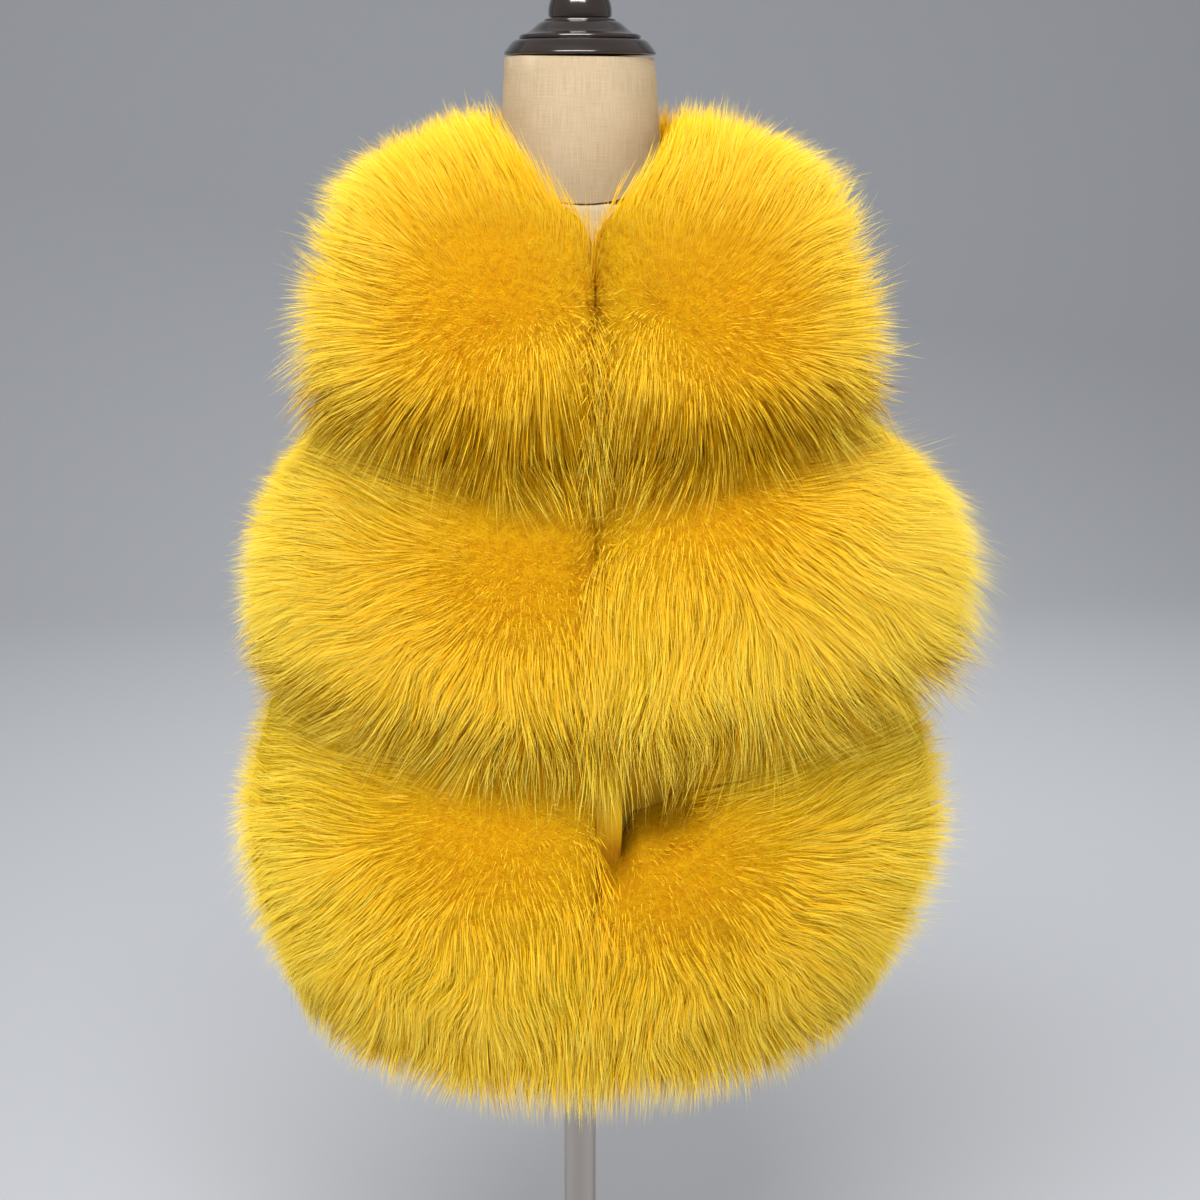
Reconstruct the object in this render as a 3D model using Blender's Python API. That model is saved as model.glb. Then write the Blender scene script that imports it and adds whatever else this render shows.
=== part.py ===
"""A child's fur gilet in three rows of long pile, on a limbless dress form with a round stand.

Metres, +Z up. The origin is the centre of the base's underside. The front faces -Y, and the
wearer's left side is at +X.

The gilet is a thin ground cloth of two fronts and a back, with three rows of fur on it. Each
fur piece is the plain solid of its pile's reach: it starts on the cloth, stands out to the tips
of the underfur, and hangs over the top of the row below.
"""

import math
from typing import NamedTuple

import bmesh
import bpy

# ---------------------------------------------------------------------------------------
# Driving sizes
# ---------------------------------------------------------------------------------------

SEAM_GAP = 0.0003  # clear space at a seam, and between the fur's backing and the cloth
CLOTH_WALL = 0.0015  # ground cloth
FACING_WALL = 0.0010
FACING_WIDTH = 0.0140
EDGE_STRIP = 0.0150  # width of each front's edge column. The left rows' backing starts past it
BACKING_GAP = 0.0004  # between the cloth and the backing of the fur on it
HEM_FLARE = 0.10  # how far the hanging pile under the hem leans out, for each metre down

LEFT = 1  # the wearer's left, at +X
RIGHT = -1

# Fur rows: height of the lower edge of each row's backing, and of its hanging tips
YOKE_LINE = 0.655  # lower edge of the top row at the centre front
YOKE_LINE_RISE = 0.018  # how much higher that line is at the side
MIDDLE_LINE = 0.490
MIDDLE_LINE_RISE = 0.028
HEM_LINE = 0.325
HEM_LINE_RISE = -0.006
UNDERARM_DIP = 0.032  # how far the armhole cuts below the yoke line, at the side
UNDERARM_POWER = 1.2
ARMHOLE_ANGLE = 63.0  # degrees from the centre front, where the armhole leaves the yoke line
ARMHOLE_SCOOP = 0.010  # how far the armhole's edge curves in between its ends
ARMHOLE_POWER = 0.8  # below 1 brings the edge in soon above the underarm

# Shoulders and neck of the ground cloth
CREST_NECK = 0.7935  # height of the shoulder seam beside the neck
CREST_START = 0.050  # distance from the centre at which that height holds
CREST_SLOPE = 0.42  # fall of the shoulder seam for each metre outward
NECK_SIDE = 0.058  # half width of the neckline at the shoulder seam
SHOULDER_HALF_WIDTH = 0.118  # from the centre to the end of the shoulder seam
ARCH_POWER = 0.83  # below 1 squares the arch that runs over the shoulder
FRONT_NECK_DEPTH = 0.40  # where the V ends, as a share of the way up the yoke
FRONT_NECK_POWER = 0.70
BACK_NECK_DEPTH = 0.66
BACK_NECK_POWER = 0.45

# Dress form
FORM_CLEARANCE = 0.0003
NECK_TOP = 0.8613
NECK_TOP_RADIUS = 0.0440
NECK_BASE_RADIUS = 0.0485
CAP_RIM_RADIUS = 0.0440
KNOB_RADIUS = 0.0183

# Stand
POLE_RADIUS = 0.0105
POLE_CLEARANCE = 0.0003
BASE_RADIUS = 0.120
BASE_HEIGHT = 0.012
BASE_EDGE = 0.003
BOSS_RADIUS = 0.022
BOSS_HEIGHT = 0.014
SOCKET_DEPTH = 0.012
FLANGE_RADIUS = 0.032
FLANGE_HEIGHT = 0.004
FLANGE_SLEEVE_RADIUS = 0.0150
FLANGE_SLEEVE_HEIGHT = 0.022
TORSO_BOTTOM = 0.360

TURNED_STEPS = 32


class BodySection(NamedTuple):
    """Level ring of the ground cloth's outer face."""

    height: float
    right: float  # half width on the wearer's right
    left: float  # half width on the wearer's left
    front: float  # depth in front of the axis
    back: float


BODY_SECTIONS = (
    BodySection(0.240, 0.164, 0.168, 0.104, 0.100),
    BodySection(0.325, 0.166, 0.172, 0.110, 0.106),
    BodySection(0.420, 0.164, 0.172, 0.112, 0.106),
    BodySection(0.500, 0.155, 0.168, 0.111, 0.104),
    BodySection(0.580, 0.148, 0.160, 0.109, 0.102),
    BodySection(0.640, 0.143, 0.149, 0.107, 0.100),
    BodySection(0.720, 0.143, 0.149, 0.107, 0.100),
)


class FurRow(NamedTuple):
    """Reach of the pile from the cloth, and height of its tips."""

    front: float
    right: float
    left: float
    back: float
    tips_centre: float
    tips_side: float
    close: float  # share of the reach lost at the tips, where the hem's pile turns in


TOP_ROW = FurRow(0.053, 0.056, 0.060, 0.046, 0.621, 0.648, 0.0)
MIDDLE_ROW = FurRow(0.058, 0.056, 0.083, 0.050, 0.455, 0.493, 0.0)
BOTTOM_ROW = FurRow(0.056, 0.054, 0.063, 0.050, 0.263, 0.262, 0.65)

# Reach of the top row over the shoulder
REACH_NECK_SIDE = 0.044
REACH_SHOULDER_END = 0.050
REACH_ARMHOLE = 0.064
PART_DIP = 0.12  # share of the reach lost where the two fronts meet
PART_ANGLE = 9.0  # degrees over which it recovers

# Lean of the pile over the shoulder, in degrees outward from upright
LEAN_NECK_SIDE = -6.0
LEAN_SHOULDER_END = 50.0
ARMHOLE_SPREAD = 26.0  # extra turn towards the side at the armhole's edge
SPREAD_RISE = 0.30  # share of the yoke's height over which the armhole's pile comes to its full reach
YOKE_REACH_POWER = 1.5


class Station(NamedTuple):
    """One step down a row: where the backing lies, where the outer face lies, and its reach."""

    root: float
    outer: float
    reach: float
    closing: float  # part of the row's close that holds here


ROW_STATIONS = (
    Station(0.000, 0.000, 0.30, 0.0),
    Station(0.130, 0.070, 0.52, 0.0),
    Station(0.260, 0.180, 0.74, 0.0),
    Station(0.420, 0.340, 0.91, 0.0),
    Station(0.620, 0.560, 1.00, 0.0),
    Station(0.820, 0.770, 1.00, 0.13),
    Station(0.995, 0.920, 0.96, 0.37),
)
# Rows of the yoke from the shoulder seam down, as shares of the way up
YOKE_RISES = (0.9975, 0.87, 0.76, 0.66, 0.53, 0.40, 0.25, 0.12, 0.004)
OVERHANG_SHARES = (0.03, 0.50, 1.0)
OVERHANG_REACH = (0.94, 0.88, 0.76)
OVERHANG_CLOSING = (0.42, 0.72, 1.0)
ROW_CLEARANCE = 0.0022  # between a row's hanging pile and the row below
TIP_THICKNESS = 0.0045

PANEL_COLUMNS = 7  # from the centre to the armhole's edge
SIDE_COLUMNS = 3  # under the armhole
SEAM_ANGLE = 0.09  # degrees left free on each side of a side seam


class FormSection(NamedTuple):
    """Ring of the torso. Its height changes from the sides to the front and the back."""

    side_height: float
    front_height: float
    back_height: float
    half_width: float
    half_depth: float


def crest_height(across: float) -> float:
    """Height of the cloth's shoulder seam at a distance from the centre."""
    return CREST_NECK - CREST_SLOPE * (across - CREST_START)


def form_crest(half_width: float) -> float:
    """Height of the form's shoulder, just under the cloth."""
    return crest_height(half_width) - CLOTH_WALL - FORM_CLEARANCE


FORM_SECTIONS = (
    FormSection(TORSO_BOTTOM, TORSO_BOTTOM, TORSO_BOTTOM, 0.098, 0.072),
    FormSection(0.364, 0.364, 0.364, 0.104, 0.078),
    FormSection(0.410, 0.410, 0.410, 0.109, 0.083),
    FormSection(0.470, 0.470, 0.470, 0.104, 0.080),
    FormSection(0.540, 0.540, 0.540, 0.098, 0.074),
    FormSection(0.610, 0.610, 0.610, 0.104, 0.077),
    FormSection(0.675, 0.675, 0.675, 0.111, 0.080),
    FormSection(0.715, 0.718, 0.718, 0.1135, 0.078),
    FormSection(0.742, 0.744, 0.746, 0.1140, 0.070),
    FormSection(0.756, 0.757, 0.760, 0.1095, 0.062),
    FormSection(form_crest(0.097), 0.765, 0.769, 0.097, 0.055),
    FormSection(form_crest(0.074), 0.771, 0.777, 0.074, 0.051),
    FormSection(form_crest(NECK_BASE_RADIUS), 0.779, 0.788, NECK_BASE_RADIUS, NECK_BASE_RADIUS),
)


# ---------------------------------------------------------------------------------------
# Small helpers
# ---------------------------------------------------------------------------------------


def mix(low: float, high: float, share: float) -> float:
    """Value a share of the way from low to high."""
    return low + (high - low) * share


def read_section(height: float, column: str) -> float:
    """Value of one column of the body sections at a height, by straight lines."""
    rows = BODY_SECTIONS
    if height <= rows[0].height:
        return getattr(rows[0], column)
    for lower, upper in zip(rows, rows[1:]):
        if height <= upper.height:
            share = (height - lower.height) / (upper.height - lower.height)
            return mix(getattr(lower, column), getattr(upper, column), share)
    return getattr(rows[-1], column)


def material(name: str, colour: tuple, roughness: float, metallic: float = 0.0):
    """Principled material with plain values."""
    made = bpy.data.materials.new(name)
    made.use_nodes = True
    shader = made.node_tree.nodes["Principled BSDF"]
    shader.inputs["Base Color"].default_value = (*colour, 1.0)
    shader.inputs["Roughness"].default_value = roughness
    shader.inputs["Metallic"].default_value = metallic
    made.diffuse_color = (*colour, 1.0)
    return made


def link_mesh(name: str, shape: bmesh.types.BMesh, finish, smooth_angle: float):
    """Turns a bmesh into a named object with its material and smooth shading."""
    bmesh.ops.recalc_face_normals(shape, faces=shape.faces)
    data = bpy.data.meshes.new(name)
    shape.to_mesh(data)
    shape.free()
    data.materials.append(finish)
    data.shade_smooth()
    data.set_sharp_from_angle(angle=math.radians(smooth_angle))
    made = bpy.data.objects.new(name, data)
    bpy.context.scene.collection.objects.link(made)
    return made


# ---------------------------------------------------------------------------------------
# The ground cloth's form
# ---------------------------------------------------------------------------------------


def side_share(angle: float) -> float:
    """0 at the centre front and the centre back, 1 at the side."""
    return math.sin(math.radians(angle)) ** 2


def yoke_line(angle: float) -> float:
    """Height of the seam between the top and the middle row, dipped under the armhole."""
    line = YOKE_LINE + YOKE_LINE_RISE * side_share(angle)
    from_side = min(angle, 180.0 - angle)
    if from_side > ARMHOLE_ANGLE:
        share = (from_side - ARMHOLE_ANGLE) / (90.0 - ARMHOLE_ANGLE)
        line -= UNDERARM_DIP * math.sin(share * math.pi / 2.0) ** UNDERARM_POWER
    return line


def middle_line(angle: float) -> float:
    """Height of the seam between the middle and the bottom row."""
    return MIDDLE_LINE + MIDDLE_LINE_RISE * side_share(angle)


def hem_line(angle: float) -> float:
    """Height of the ground cloth's hem."""
    return HEM_LINE + HEM_LINE_RISE * side_share(angle)


def ring_axes(side: int, angle: float, height: float) -> tuple:
    """Half width and depth of the cloth's ring on one side, at one height."""
    width = read_section(height, "left" if side == LEFT else "right")
    depth = read_section(height, "front" if angle < 90.0 else "back")
    return width, depth


def ring_point(side: int, angle: float, height: float) -> tuple:
    """Point of the cloth's outer face. The angle is 0 at the centre front, 180 at the back."""
    width, depth = ring_axes(side, angle, height)
    turn = math.radians(angle)
    return (side * width * math.sin(turn), -depth * math.cos(turn), height)


def ring_outward(side: int, angle: float, height: float) -> tuple:
    """Level direction straight out of the cloth."""
    width, depth = ring_axes(side, angle, height)
    turn = math.radians(angle)
    x = math.sin(turn) / width
    y = -math.cos(turn) / depth
    length = math.hypot(x, y)
    return (side * x / length, y / length, 0.0)


def yoke_point(side: int, angle: float, rise: float) -> tuple:
    """Point of the cloth's outer face above the yoke line. A rise of 1 is the shoulder seam."""
    x, y, low = ring_point(side, angle, yoke_line(angle))
    turn = math.radians(90.0 * rise)
    forward = max(math.cos(turn), 0.0) ** ARCH_POWER
    up = math.sin(turn) ** ARCH_POWER
    return (x, y * forward, low + (crest_height(abs(x)) - low) * up)


def inner_edge(is_front: bool, rise: float) -> float:
    """Distance of the neckline from the centre. 0 below the neck opening."""
    depth = FRONT_NECK_DEPTH if is_front else BACK_NECK_DEPTH
    power = FRONT_NECK_POWER if is_front else BACK_NECK_POWER
    if rise <= depth:
        return 0.0
    return NECK_SIDE * ((rise - depth) / (1.0 - depth)) ** power


def armhole_edge(side: int, is_front: bool, rise: float) -> float:
    """Distance of the armhole's edge from the centre."""
    angle = ARMHOLE_ANGLE if is_front else 180.0 - ARMHOLE_ANGLE
    low = abs(ring_point(side, angle, yoke_line(angle))[0])
    scoop = ARMHOLE_SCOOP * math.sin(math.pi * rise)
    return mix(low, SHOULDER_HALF_WIDTH, rise ** ARMHOLE_POWER) - scoop


def angle_at(side: int, is_front: bool, across: float) -> float:
    """Angle of the yoke's column that lies at a distance from the centre."""
    width = ring_axes(side, 0.0, YOKE_LINE)[0]
    angle = math.degrees(math.asin(min(across / width, 1.0)))
    return angle if is_front else 180.0 - angle


def spread_columns(low: float, second: float, high: float) -> list:
    """Angles from the centre to the side: the edge strip, then equal steps."""
    steps = range(PANEL_COLUMNS + 1)
    return [low] + [mix(second, high, step / PANEL_COLUMNS) for step in steps]


def yoke_columns(side: int, is_front: bool, rise: float) -> list:
    """Angles of the yoke's columns at one rise, from the centre to the armhole."""
    first = max(inner_edge(is_front, rise), centre_start(is_front))
    low = angle_at(side, is_front, first)
    second = angle_at(side, is_front, first + EDGE_STRIP)
    high = angle_at(side, is_front, armhole_edge(side, is_front, rise))
    return spread_columns(low, second, high)


def ring_columns(side: int, is_front: bool, to_armhole: bool) -> list:
    """Angles of the columns below the yoke line, from the centre to the side seam."""
    low = angle_at(side, True, centre_start(is_front))
    second = angle_at(side, True, centre_start(is_front) + EDGE_STRIP)
    angles = spread_columns(low, second, ARMHOLE_ANGLE)
    if not to_armhole:
        last = 90.0 - SEAM_ANGLE
        steps = range(1, SIDE_COLUMNS + 1)
        angles += [mix(ARMHOLE_ANGLE, last, step / SIDE_COLUMNS) for step in steps]
    return angles if is_front else [180.0 - angle for angle in angles]


def centre_start(is_front: bool) -> float:
    """Distance from the centre to a panel's edge. The back has no seam there."""
    return SEAM_GAP if is_front else 0.0


def moved(point: tuple, direction: tuple, distance: float) -> tuple:
    """Point moved along a direction."""
    return tuple(p + distance * d for p, d in zip(point, direction))


# ---------------------------------------------------------------------------------------
# Walls from pairs of points
# ---------------------------------------------------------------------------------------


def add_grid(shape: bmesh.types.BMesh, rows: list) -> None:
    """Fills neighbouring rows of vertices, bottom row first, always along the same diagonal."""
    for low_row, high_row in zip(rows, rows[1:]):
        for index in range(min(len(low_row), len(high_row)) - 1):
            after = index + 1
            shape.faces.new((low_row[index], low_row[after], high_row[after]))
            shape.faces.new((low_row[index], high_row[after], high_row[index]))


def build_wall(name: str, halves: list, finish, smooth_angle: float):
    """Closed wall from halves of rows of (inner, outer) pairs, joined where they meet at x = 0."""
    shape = bmesh.new()
    partner = {}
    centre = {}
    for rows in halves:
        outer_rows = []
        for row in rows:
            line = []
            for inner, outer in row:
                key = tuple(round(value, 6) for value in inner + outer)
                if key not in centre:
                    vertex = shape.verts.new(outer)
                    partner[vertex] = shape.verts.new(inner)
                    centre[key] = vertex
                line.append(centre[key])
            outer_rows.append(line)
        add_grid(shape, outer_rows)
        add_grid(shape, [[partner[vertex] for vertex in line] for line in outer_rows])
    for edge in [edge for edge in shape.edges if edge.is_boundary and edge.verts[0] in partner]:
        first, second = edge.verts
        shape.faces.new((first, second, partner[second], partner[first]))
    return link_mesh(name, shape, finish, smooth_angle)


# ---------------------------------------------------------------------------------------
# Ground cloth panels
# ---------------------------------------------------------------------------------------


def cloth_pair(point: tuple, outward: tuple) -> tuple:
    """Inner and outer point of the cloth's wall."""
    return moved(point, outward, -CLOTH_WALL), point


def cloth_half(side: int, is_front: bool) -> list:
    """One side of a ground panel as rows of pairs: the rings up to the yoke line, then the yoke."""
    angles = ring_columns(side, is_front, to_armhole=False)
    rows = []
    for plan in (BOTTOM_PLAN, MIDDLE_PLAN):
        for station in reversed(ROW_STATIONS):
            share = round(station.root, 2)
            lines = ((plan.top_line(angle), plan.bottom_line(angle)) for angle in angles)
            heights = [mix(top, bottom, share) for top, bottom in lines]
            if share > 0.0 or plan is MIDDLE_PLAN:
                rows.append([
                    cloth_pair(ring_point(side, angle, z), ring_outward(side, angle, z))
                    for angle, z in zip(angles, heights)
                ])
    for rise in reversed(YOKE_RISES[:-1]):
        columns = yoke_columns(side, is_front, rise)
        rows.append([
            cloth_pair(yoke_point(side, angle, rise), yoke_outward(side, angle, rise, 0.0))
            for angle in columns
        ])
    return rows


def build_facing(finish):
    """Smooth strip on the wearer's left front edge, from the V down to the hem."""
    shares = (2.0 * SEAM_GAP / EDGE_STRIP, FACING_WIDTH / EDGE_STRIP)
    rows = []
    for row in cloth_half(LEFT, True):
        if row[0][1][0] > 2.0 * SEAM_GAP:
            break
        near, far = row[0][1], row[1][1]
        outward = (0.0, -1.0, 0.0)
        pairs = []
        for share in shares:
            point = tuple(mix(a, b, share) for a, b in zip(near, far))
            low = moved(point, outward, SEAM_GAP)
            pairs.append((low, moved(point, outward, SEAM_GAP + FACING_WALL)))
        rows.append(pairs)
    return build_wall("front_facing_left", [rows], finish, 40.0)


# ---------------------------------------------------------------------------------------
# Fur rows
# ---------------------------------------------------------------------------------------


def offset_ring(side: int, angle: float, height: float, reach: float) -> tuple:
    """Point that stands out from the ring by a reach."""
    return moved(ring_point(side, angle, height), ring_outward(side, angle, height), reach)


def row_reach(row: FurRow, side: int, angle: float, has_part: bool) -> float:
    """Full reach of a row's pile at an angle."""
    at_side = row.left if side == LEFT else row.right
    at_middle = row.front if angle < 90.0 else row.back
    reach = mix(at_middle, at_side, side_share(angle))
    if has_part:
        reach *= 1.0 - PART_DIP * math.exp(-((angle / PART_ANGLE) ** 2))
    return reach


def row_tips(row: FurRow, angle: float) -> float:
    """Height of a row's hanging tips at an angle."""
    return mix(row.tips_centre, row.tips_side, side_share(angle))


def envelope(row: FurRow, top_line, bottom_line, side: int, angle: float, height: float) -> float:
    """Reach of a row's outer face at a height, between its stations."""
    top = top_line(angle)
    share = (top - height) / (top - bottom_line(angle))
    full = row_reach(row, side, angle, angle < 90.0)
    if share <= 0.0:
        return full * ROW_STATIONS[0].reach
    for upper, lower in zip(ROW_STATIONS, ROW_STATIONS[1:]):
        if share <= lower.outer:
            part = (share - upper.outer) / (lower.outer - upper.outer)
            return full * mix(upper.reach, lower.reach, part)
    return full * ROW_STATIONS[-1].reach


class RowPlan(NamedTuple):
    """A row of fur with the seams it lies between, and the row that hangs under it."""

    row: FurRow
    top_line: object
    bottom_line: object
    below: object  # the next RowPlan, or None


BOTTOM_PLAN = RowPlan(BOTTOM_ROW, middle_line, hem_line, None)
MIDDLE_PLAN = RowPlan(MIDDLE_ROW, yoke_line, middle_line, BOTTOM_PLAN)
TOP_PLAN = RowPlan(TOP_ROW, None, yoke_line, MIDDLE_PLAN)


def reach_below(plan: RowPlan, side: int, angle: float, height: float) -> float:
    """How far the hanging pile's inner face stands out, to clear the row below."""
    if plan.below is None:
        hang = plan.bottom_line(angle) - height
        return SEAM_GAP + HEM_FLARE * max(hang, 0.0)
    lower = plan.below
    outer = envelope(lower.row, lower.top_line, lower.bottom_line, side, angle, height)
    return outer + ROW_CLEARANCE


def overhang_pairs(plan: RowPlan, side: int, inner: float, outer: float) -> list:
    """Inner and outer points of the hanging pile, from the backing's lower edge to the tips."""
    pairs = []
    full = row_reach(plan.row, side, outer, outer < 90.0)
    for share, reach, closing in zip(OVERHANG_SHARES, OVERHANG_REACH, OVERHANG_CLOSING):
        ends = []
        for angle in (inner, outer):
            line = plan.bottom_line(angle)
            ends.append(mix(line, row_tips(plan.row, angle), share))
        if share == OVERHANG_SHARES[0]:
            ends[0] = plan.bottom_line(inner) + SEAM_GAP
        under = reach_below(plan, side, inner, ends[0])
        kept = full * reach * (1.0 - plan.row.close * closing)
        over = max(kept, reach_below(plan, side, outer, ends[1]) + TIP_THICKNESS)
        pairs.append((
            offset_ring(side, inner, ends[0], under),
            offset_ring(side, outer, ends[1], over),
        ))
    return pairs


def ring_pairs(plan: RowPlan, side: int, inner: float, outer: float) -> list:
    """Inner and outer points of a ring row at one column, from its top seam to its tips."""
    pairs = []
    full = row_reach(plan.row, side, outer, outer < 90.0)
    for station in ROW_STATIONS:
        top = plan.top_line(inner) - SEAM_GAP
        root = mix(top, plan.bottom_line(inner) + SEAM_GAP, station.root)
        face = mix(plan.top_line(outer) - SEAM_GAP, plan.bottom_line(outer), station.outer)
        pairs.append((
            offset_ring(side, inner, root, BACKING_GAP),
            offset_ring(side, outer, face, full * station.reach * (1.0 - plan.row.close * station.closing)),
        ))
    return pairs + overhang_pairs(plan, side, inner, outer)


def yoke_outward(side: int, angle: float, rise: float, across: float) -> tuple:
    """Direction of the pile on the yoke. across runs from 0 at the centre to 1 at the armhole."""
    is_front = angle < 90.0
    settle = min(rise / SPREAD_RISE, 1.0)
    spread = ARMHOLE_SPREAD * across ** 2 * settle
    turned = angle + spread if is_front else angle - spread
    level = ring_outward(side, turned, YOKE_LINE)
    tilt = math.radians(90.0 * rise)
    neck_depth = FRONT_NECK_DEPTH if is_front else BACK_NECK_DEPTH
    neck_lean = LEAN_NECK_SIDE * max(rise - neck_depth, 0.0) / (1.0 - neck_depth)
    lean = math.radians(mix(neck_lean, LEAN_SHOULDER_END, across)) if across > 0.0 else 0.0
    up = (side * math.sin(lean), 0.0, math.cos(lean))
    mixed = [math.cos(tilt) * a + math.sin(tilt) * b for a, b in zip(level, up)]
    length = math.sqrt(sum(value * value for value in mixed))
    return tuple(value / length for value in mixed)


def yoke_reach(side: int, angle: float, rise: float, across: float) -> float:
    """Full reach of the pile on the yoke."""
    low = row_reach(TOP_ROW, side, angle, angle < 90.0)
    low = mix(low, REACH_ARMHOLE, across ** 2 * min(rise / SPREAD_RISE, 1.0))
    high = mix(REACH_NECK_SIDE, REACH_SHOULDER_END, across)
    return mix(low, high, rise ** YOKE_REACH_POWER)


def yoke_pair(side: int, inner: float, outer: float, rise: float, across: float) -> tuple:
    """Inner and outer point of the top row at one column and one rise."""
    backing = moved(yoke_point(side, inner, rise), yoke_outward(side, inner, rise, 0.0), BACKING_GAP)
    outward = yoke_outward(side, outer, rise, across)
    reach = yoke_reach(side, outer, rise, across)
    return backing, moved(yoke_point(side, outer, rise), outward, reach)


def split_columns(columns: list, skip_edge: bool) -> tuple:
    """Columns of the backing and of the outer face. Beside the facing, the backing starts later."""
    if skip_edge:
        return columns[1:], columns[:1] + columns[2:]
    return columns, columns


def top_half(side: int, is_front: bool, skip_edge: bool) -> list:
    """Pairs of the top row on one side, as rows from the tips up to the shoulder seam."""
    rows = []
    for rise in YOKE_RISES:
        inner, outer = split_columns(yoke_columns(side, is_front, rise), skip_edge)
        last = len(inner) - 1
        rows.append([
            yoke_pair(side, a, b, rise, index / last)
            for index, (a, b) in enumerate(zip(inner, outer))
        ])
    inner, outer = split_columns(ring_columns(side, is_front, to_armhole=True), skip_edge)
    columns = [overhang_pairs(TOP_PLAN, side, a, b) for a, b in zip(inner, outer)]
    rows += [list(row) for row in zip(*columns)]
    return rows[::-1]


def ring_half(plan: RowPlan, side: int, is_front: bool, skip_edge: bool) -> list:
    """Pairs of a lower row on one side, as rows from the tips up to its top seam."""
    inner, outer = split_columns(ring_columns(side, is_front, to_armhole=False), skip_edge)
    columns = [ring_pairs(plan, side, a, b) for a, b in zip(inner, outer)]
    return [list(row) for row in zip(*columns)][::-1]


def build_fur(name: str, plan: RowPlan, sides: tuple, is_front: bool, finish):
    """One piece of a row. The back is two halves joined below any neckline."""
    halves = []
    for side in sides:
        skip_edge = is_front and side == LEFT
        if plan.top_line:
            halves.append(ring_half(plan, side, is_front, skip_edge))
        else:
            halves.append(top_half(side, is_front, skip_edge))
    return build_wall(name, halves, finish, 50.0)


# ---------------------------------------------------------------------------------------
# Dress form
# ---------------------------------------------------------------------------------------


def section_height(section: FormSection, turn: float) -> float:
    """Height of a ring at a turn. 0 is the front, a half turn is the back."""
    middle = section.front_height if math.cos(turn) > 0.0 else section.back_height
    return mix(section.side_height, middle, math.cos(turn) ** 2)


def loft_rings(shape: bmesh.types.BMesh, rings: list) -> None:
    """Closed surface through rings of equal length, with a fan at each end."""
    made = [[shape.verts.new(point) for point in ring] for ring in rings]
    count = len(made[0])
    for lower, upper in zip(made, made[1:]):
        for index in range(count):
            after = (index + 1) % count
            shape.faces.new((lower[index], lower[after], upper[after], upper[index]))
    for ring in (made[0], made[-1]):
        height = sum(vertex.co.z for vertex in ring) / count
        centre = shape.verts.new((0.0, 0.0, height))
        for index in range(count):
            shape.faces.new((ring[index], ring[(index + 1) % count], centre))


def form_turns() -> list:
    """Turns of the form's columns, in radians."""
    return [2.0 * math.pi * step / TURNED_STEPS for step in range(TURNED_STEPS)]


def build_torso(finish):
    """Limbless torso with closed shoulders and a flat underside."""
    rings = []
    for section in FORM_SECTIONS:
        rings.append([
            (
                section.half_width * math.sin(turn),
                -section.half_depth * math.cos(turn),
                section_height(section, turn),
            )
            for turn in form_turns()
        ])
    shape = bmesh.new()
    loft_rings(shape, rings)
    return link_mesh("form_torso", shape, finish, 50.0)


def build_neck(finish):
    """Upright neck that stands on the torso's tilted seam."""
    seam = FORM_SECTIONS[-1]
    rings = []
    for share in (0.0, 0.5, 1.0):
        radius = mix(NECK_BASE_RADIUS - SEAM_GAP, NECK_TOP_RADIUS - SEAM_GAP, share)
        rings.append([
            (
                radius * math.sin(turn),
                -radius * math.cos(turn),
                mix(section_height(seam, turn) + SEAM_GAP, NECK_TOP, share),
            )
            for turn in form_turns()
        ])
    shape = bmesh.new()
    loft_rings(shape, rings)
    return link_mesh("form_neck", shape, finish, 50.0)


# ---------------------------------------------------------------------------------------
# Turned pieces
# ---------------------------------------------------------------------------------------


def arc_points(centre: tuple, radius: float, start: float, end: float, steps: int) -> list:
    """Points of an arc in a turned profile, as (radius, height), angles in degrees."""
    turns = [math.radians(mix(start, end, step / steps)) for step in range(steps + 1)]
    return [(centre[0] + radius * math.cos(t), centre[1] + radius * math.sin(t)) for t in turns]


def build_turned(name: str, profile: list, finish):
    """Solid turned about the axis from a profile that runs down its outer side."""
    data = bpy.data.meshes.new(name)
    points = [(radius, 0.0, height) for radius, height in profile]
    edges = [(index, index + 1) for index in range(len(points) - 1)]
    data.from_pydata(points, edges, [])
    data.materials.append(finish)
    made = bpy.data.objects.new(name, data)
    bpy.context.scene.collection.objects.link(made)
    lathe = made.modifiers.new("lathe", "SCREW")
    lathe.axis = "Z"
    lathe.steps = TURNED_STEPS
    lathe.render_steps = TURNED_STEPS
    lathe.use_merge_vertices = True
    lathe.merge_threshold = 0.00001
    lathe.use_smooth_shade = True
    return made


def cap_profile() -> list:
    """Neck cap: a rolled rim, an ogee, a bead and a domed knob, from the top down."""
    bottom = NECK_TOP + SEAM_GAP
    dome_base = bottom + 0.0225
    profile = [(0.0, dome_base + 0.0015 + KNOB_RADIUS)]
    profile += arc_points((0.0, dome_base + 0.0015), KNOB_RADIUS, 78.0, -8.0, 7)
    profile += [
        (0.0165, dome_base - 0.0018),
        (0.0200, dome_base - 0.0020),
        (0.0228, dome_base - 0.0028),
        (0.0262, dome_base - 0.0062),
        (0.0300, dome_base - 0.0092),
        (0.0340, dome_base - 0.0108),
        (0.0352, dome_base - 0.0120),
        (0.0350, dome_base - 0.0134),
    ]
    profile += arc_points((0.0352, bottom + 0.0036), 0.0060, 88.0, 40.0, 3)
    profile += arc_points((CAP_RIM_RADIUS - 0.0030, bottom + 0.0030), 0.0030, 25.0, -90.0, 4)
    profile += [(0.0, bottom)]
    return profile


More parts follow.
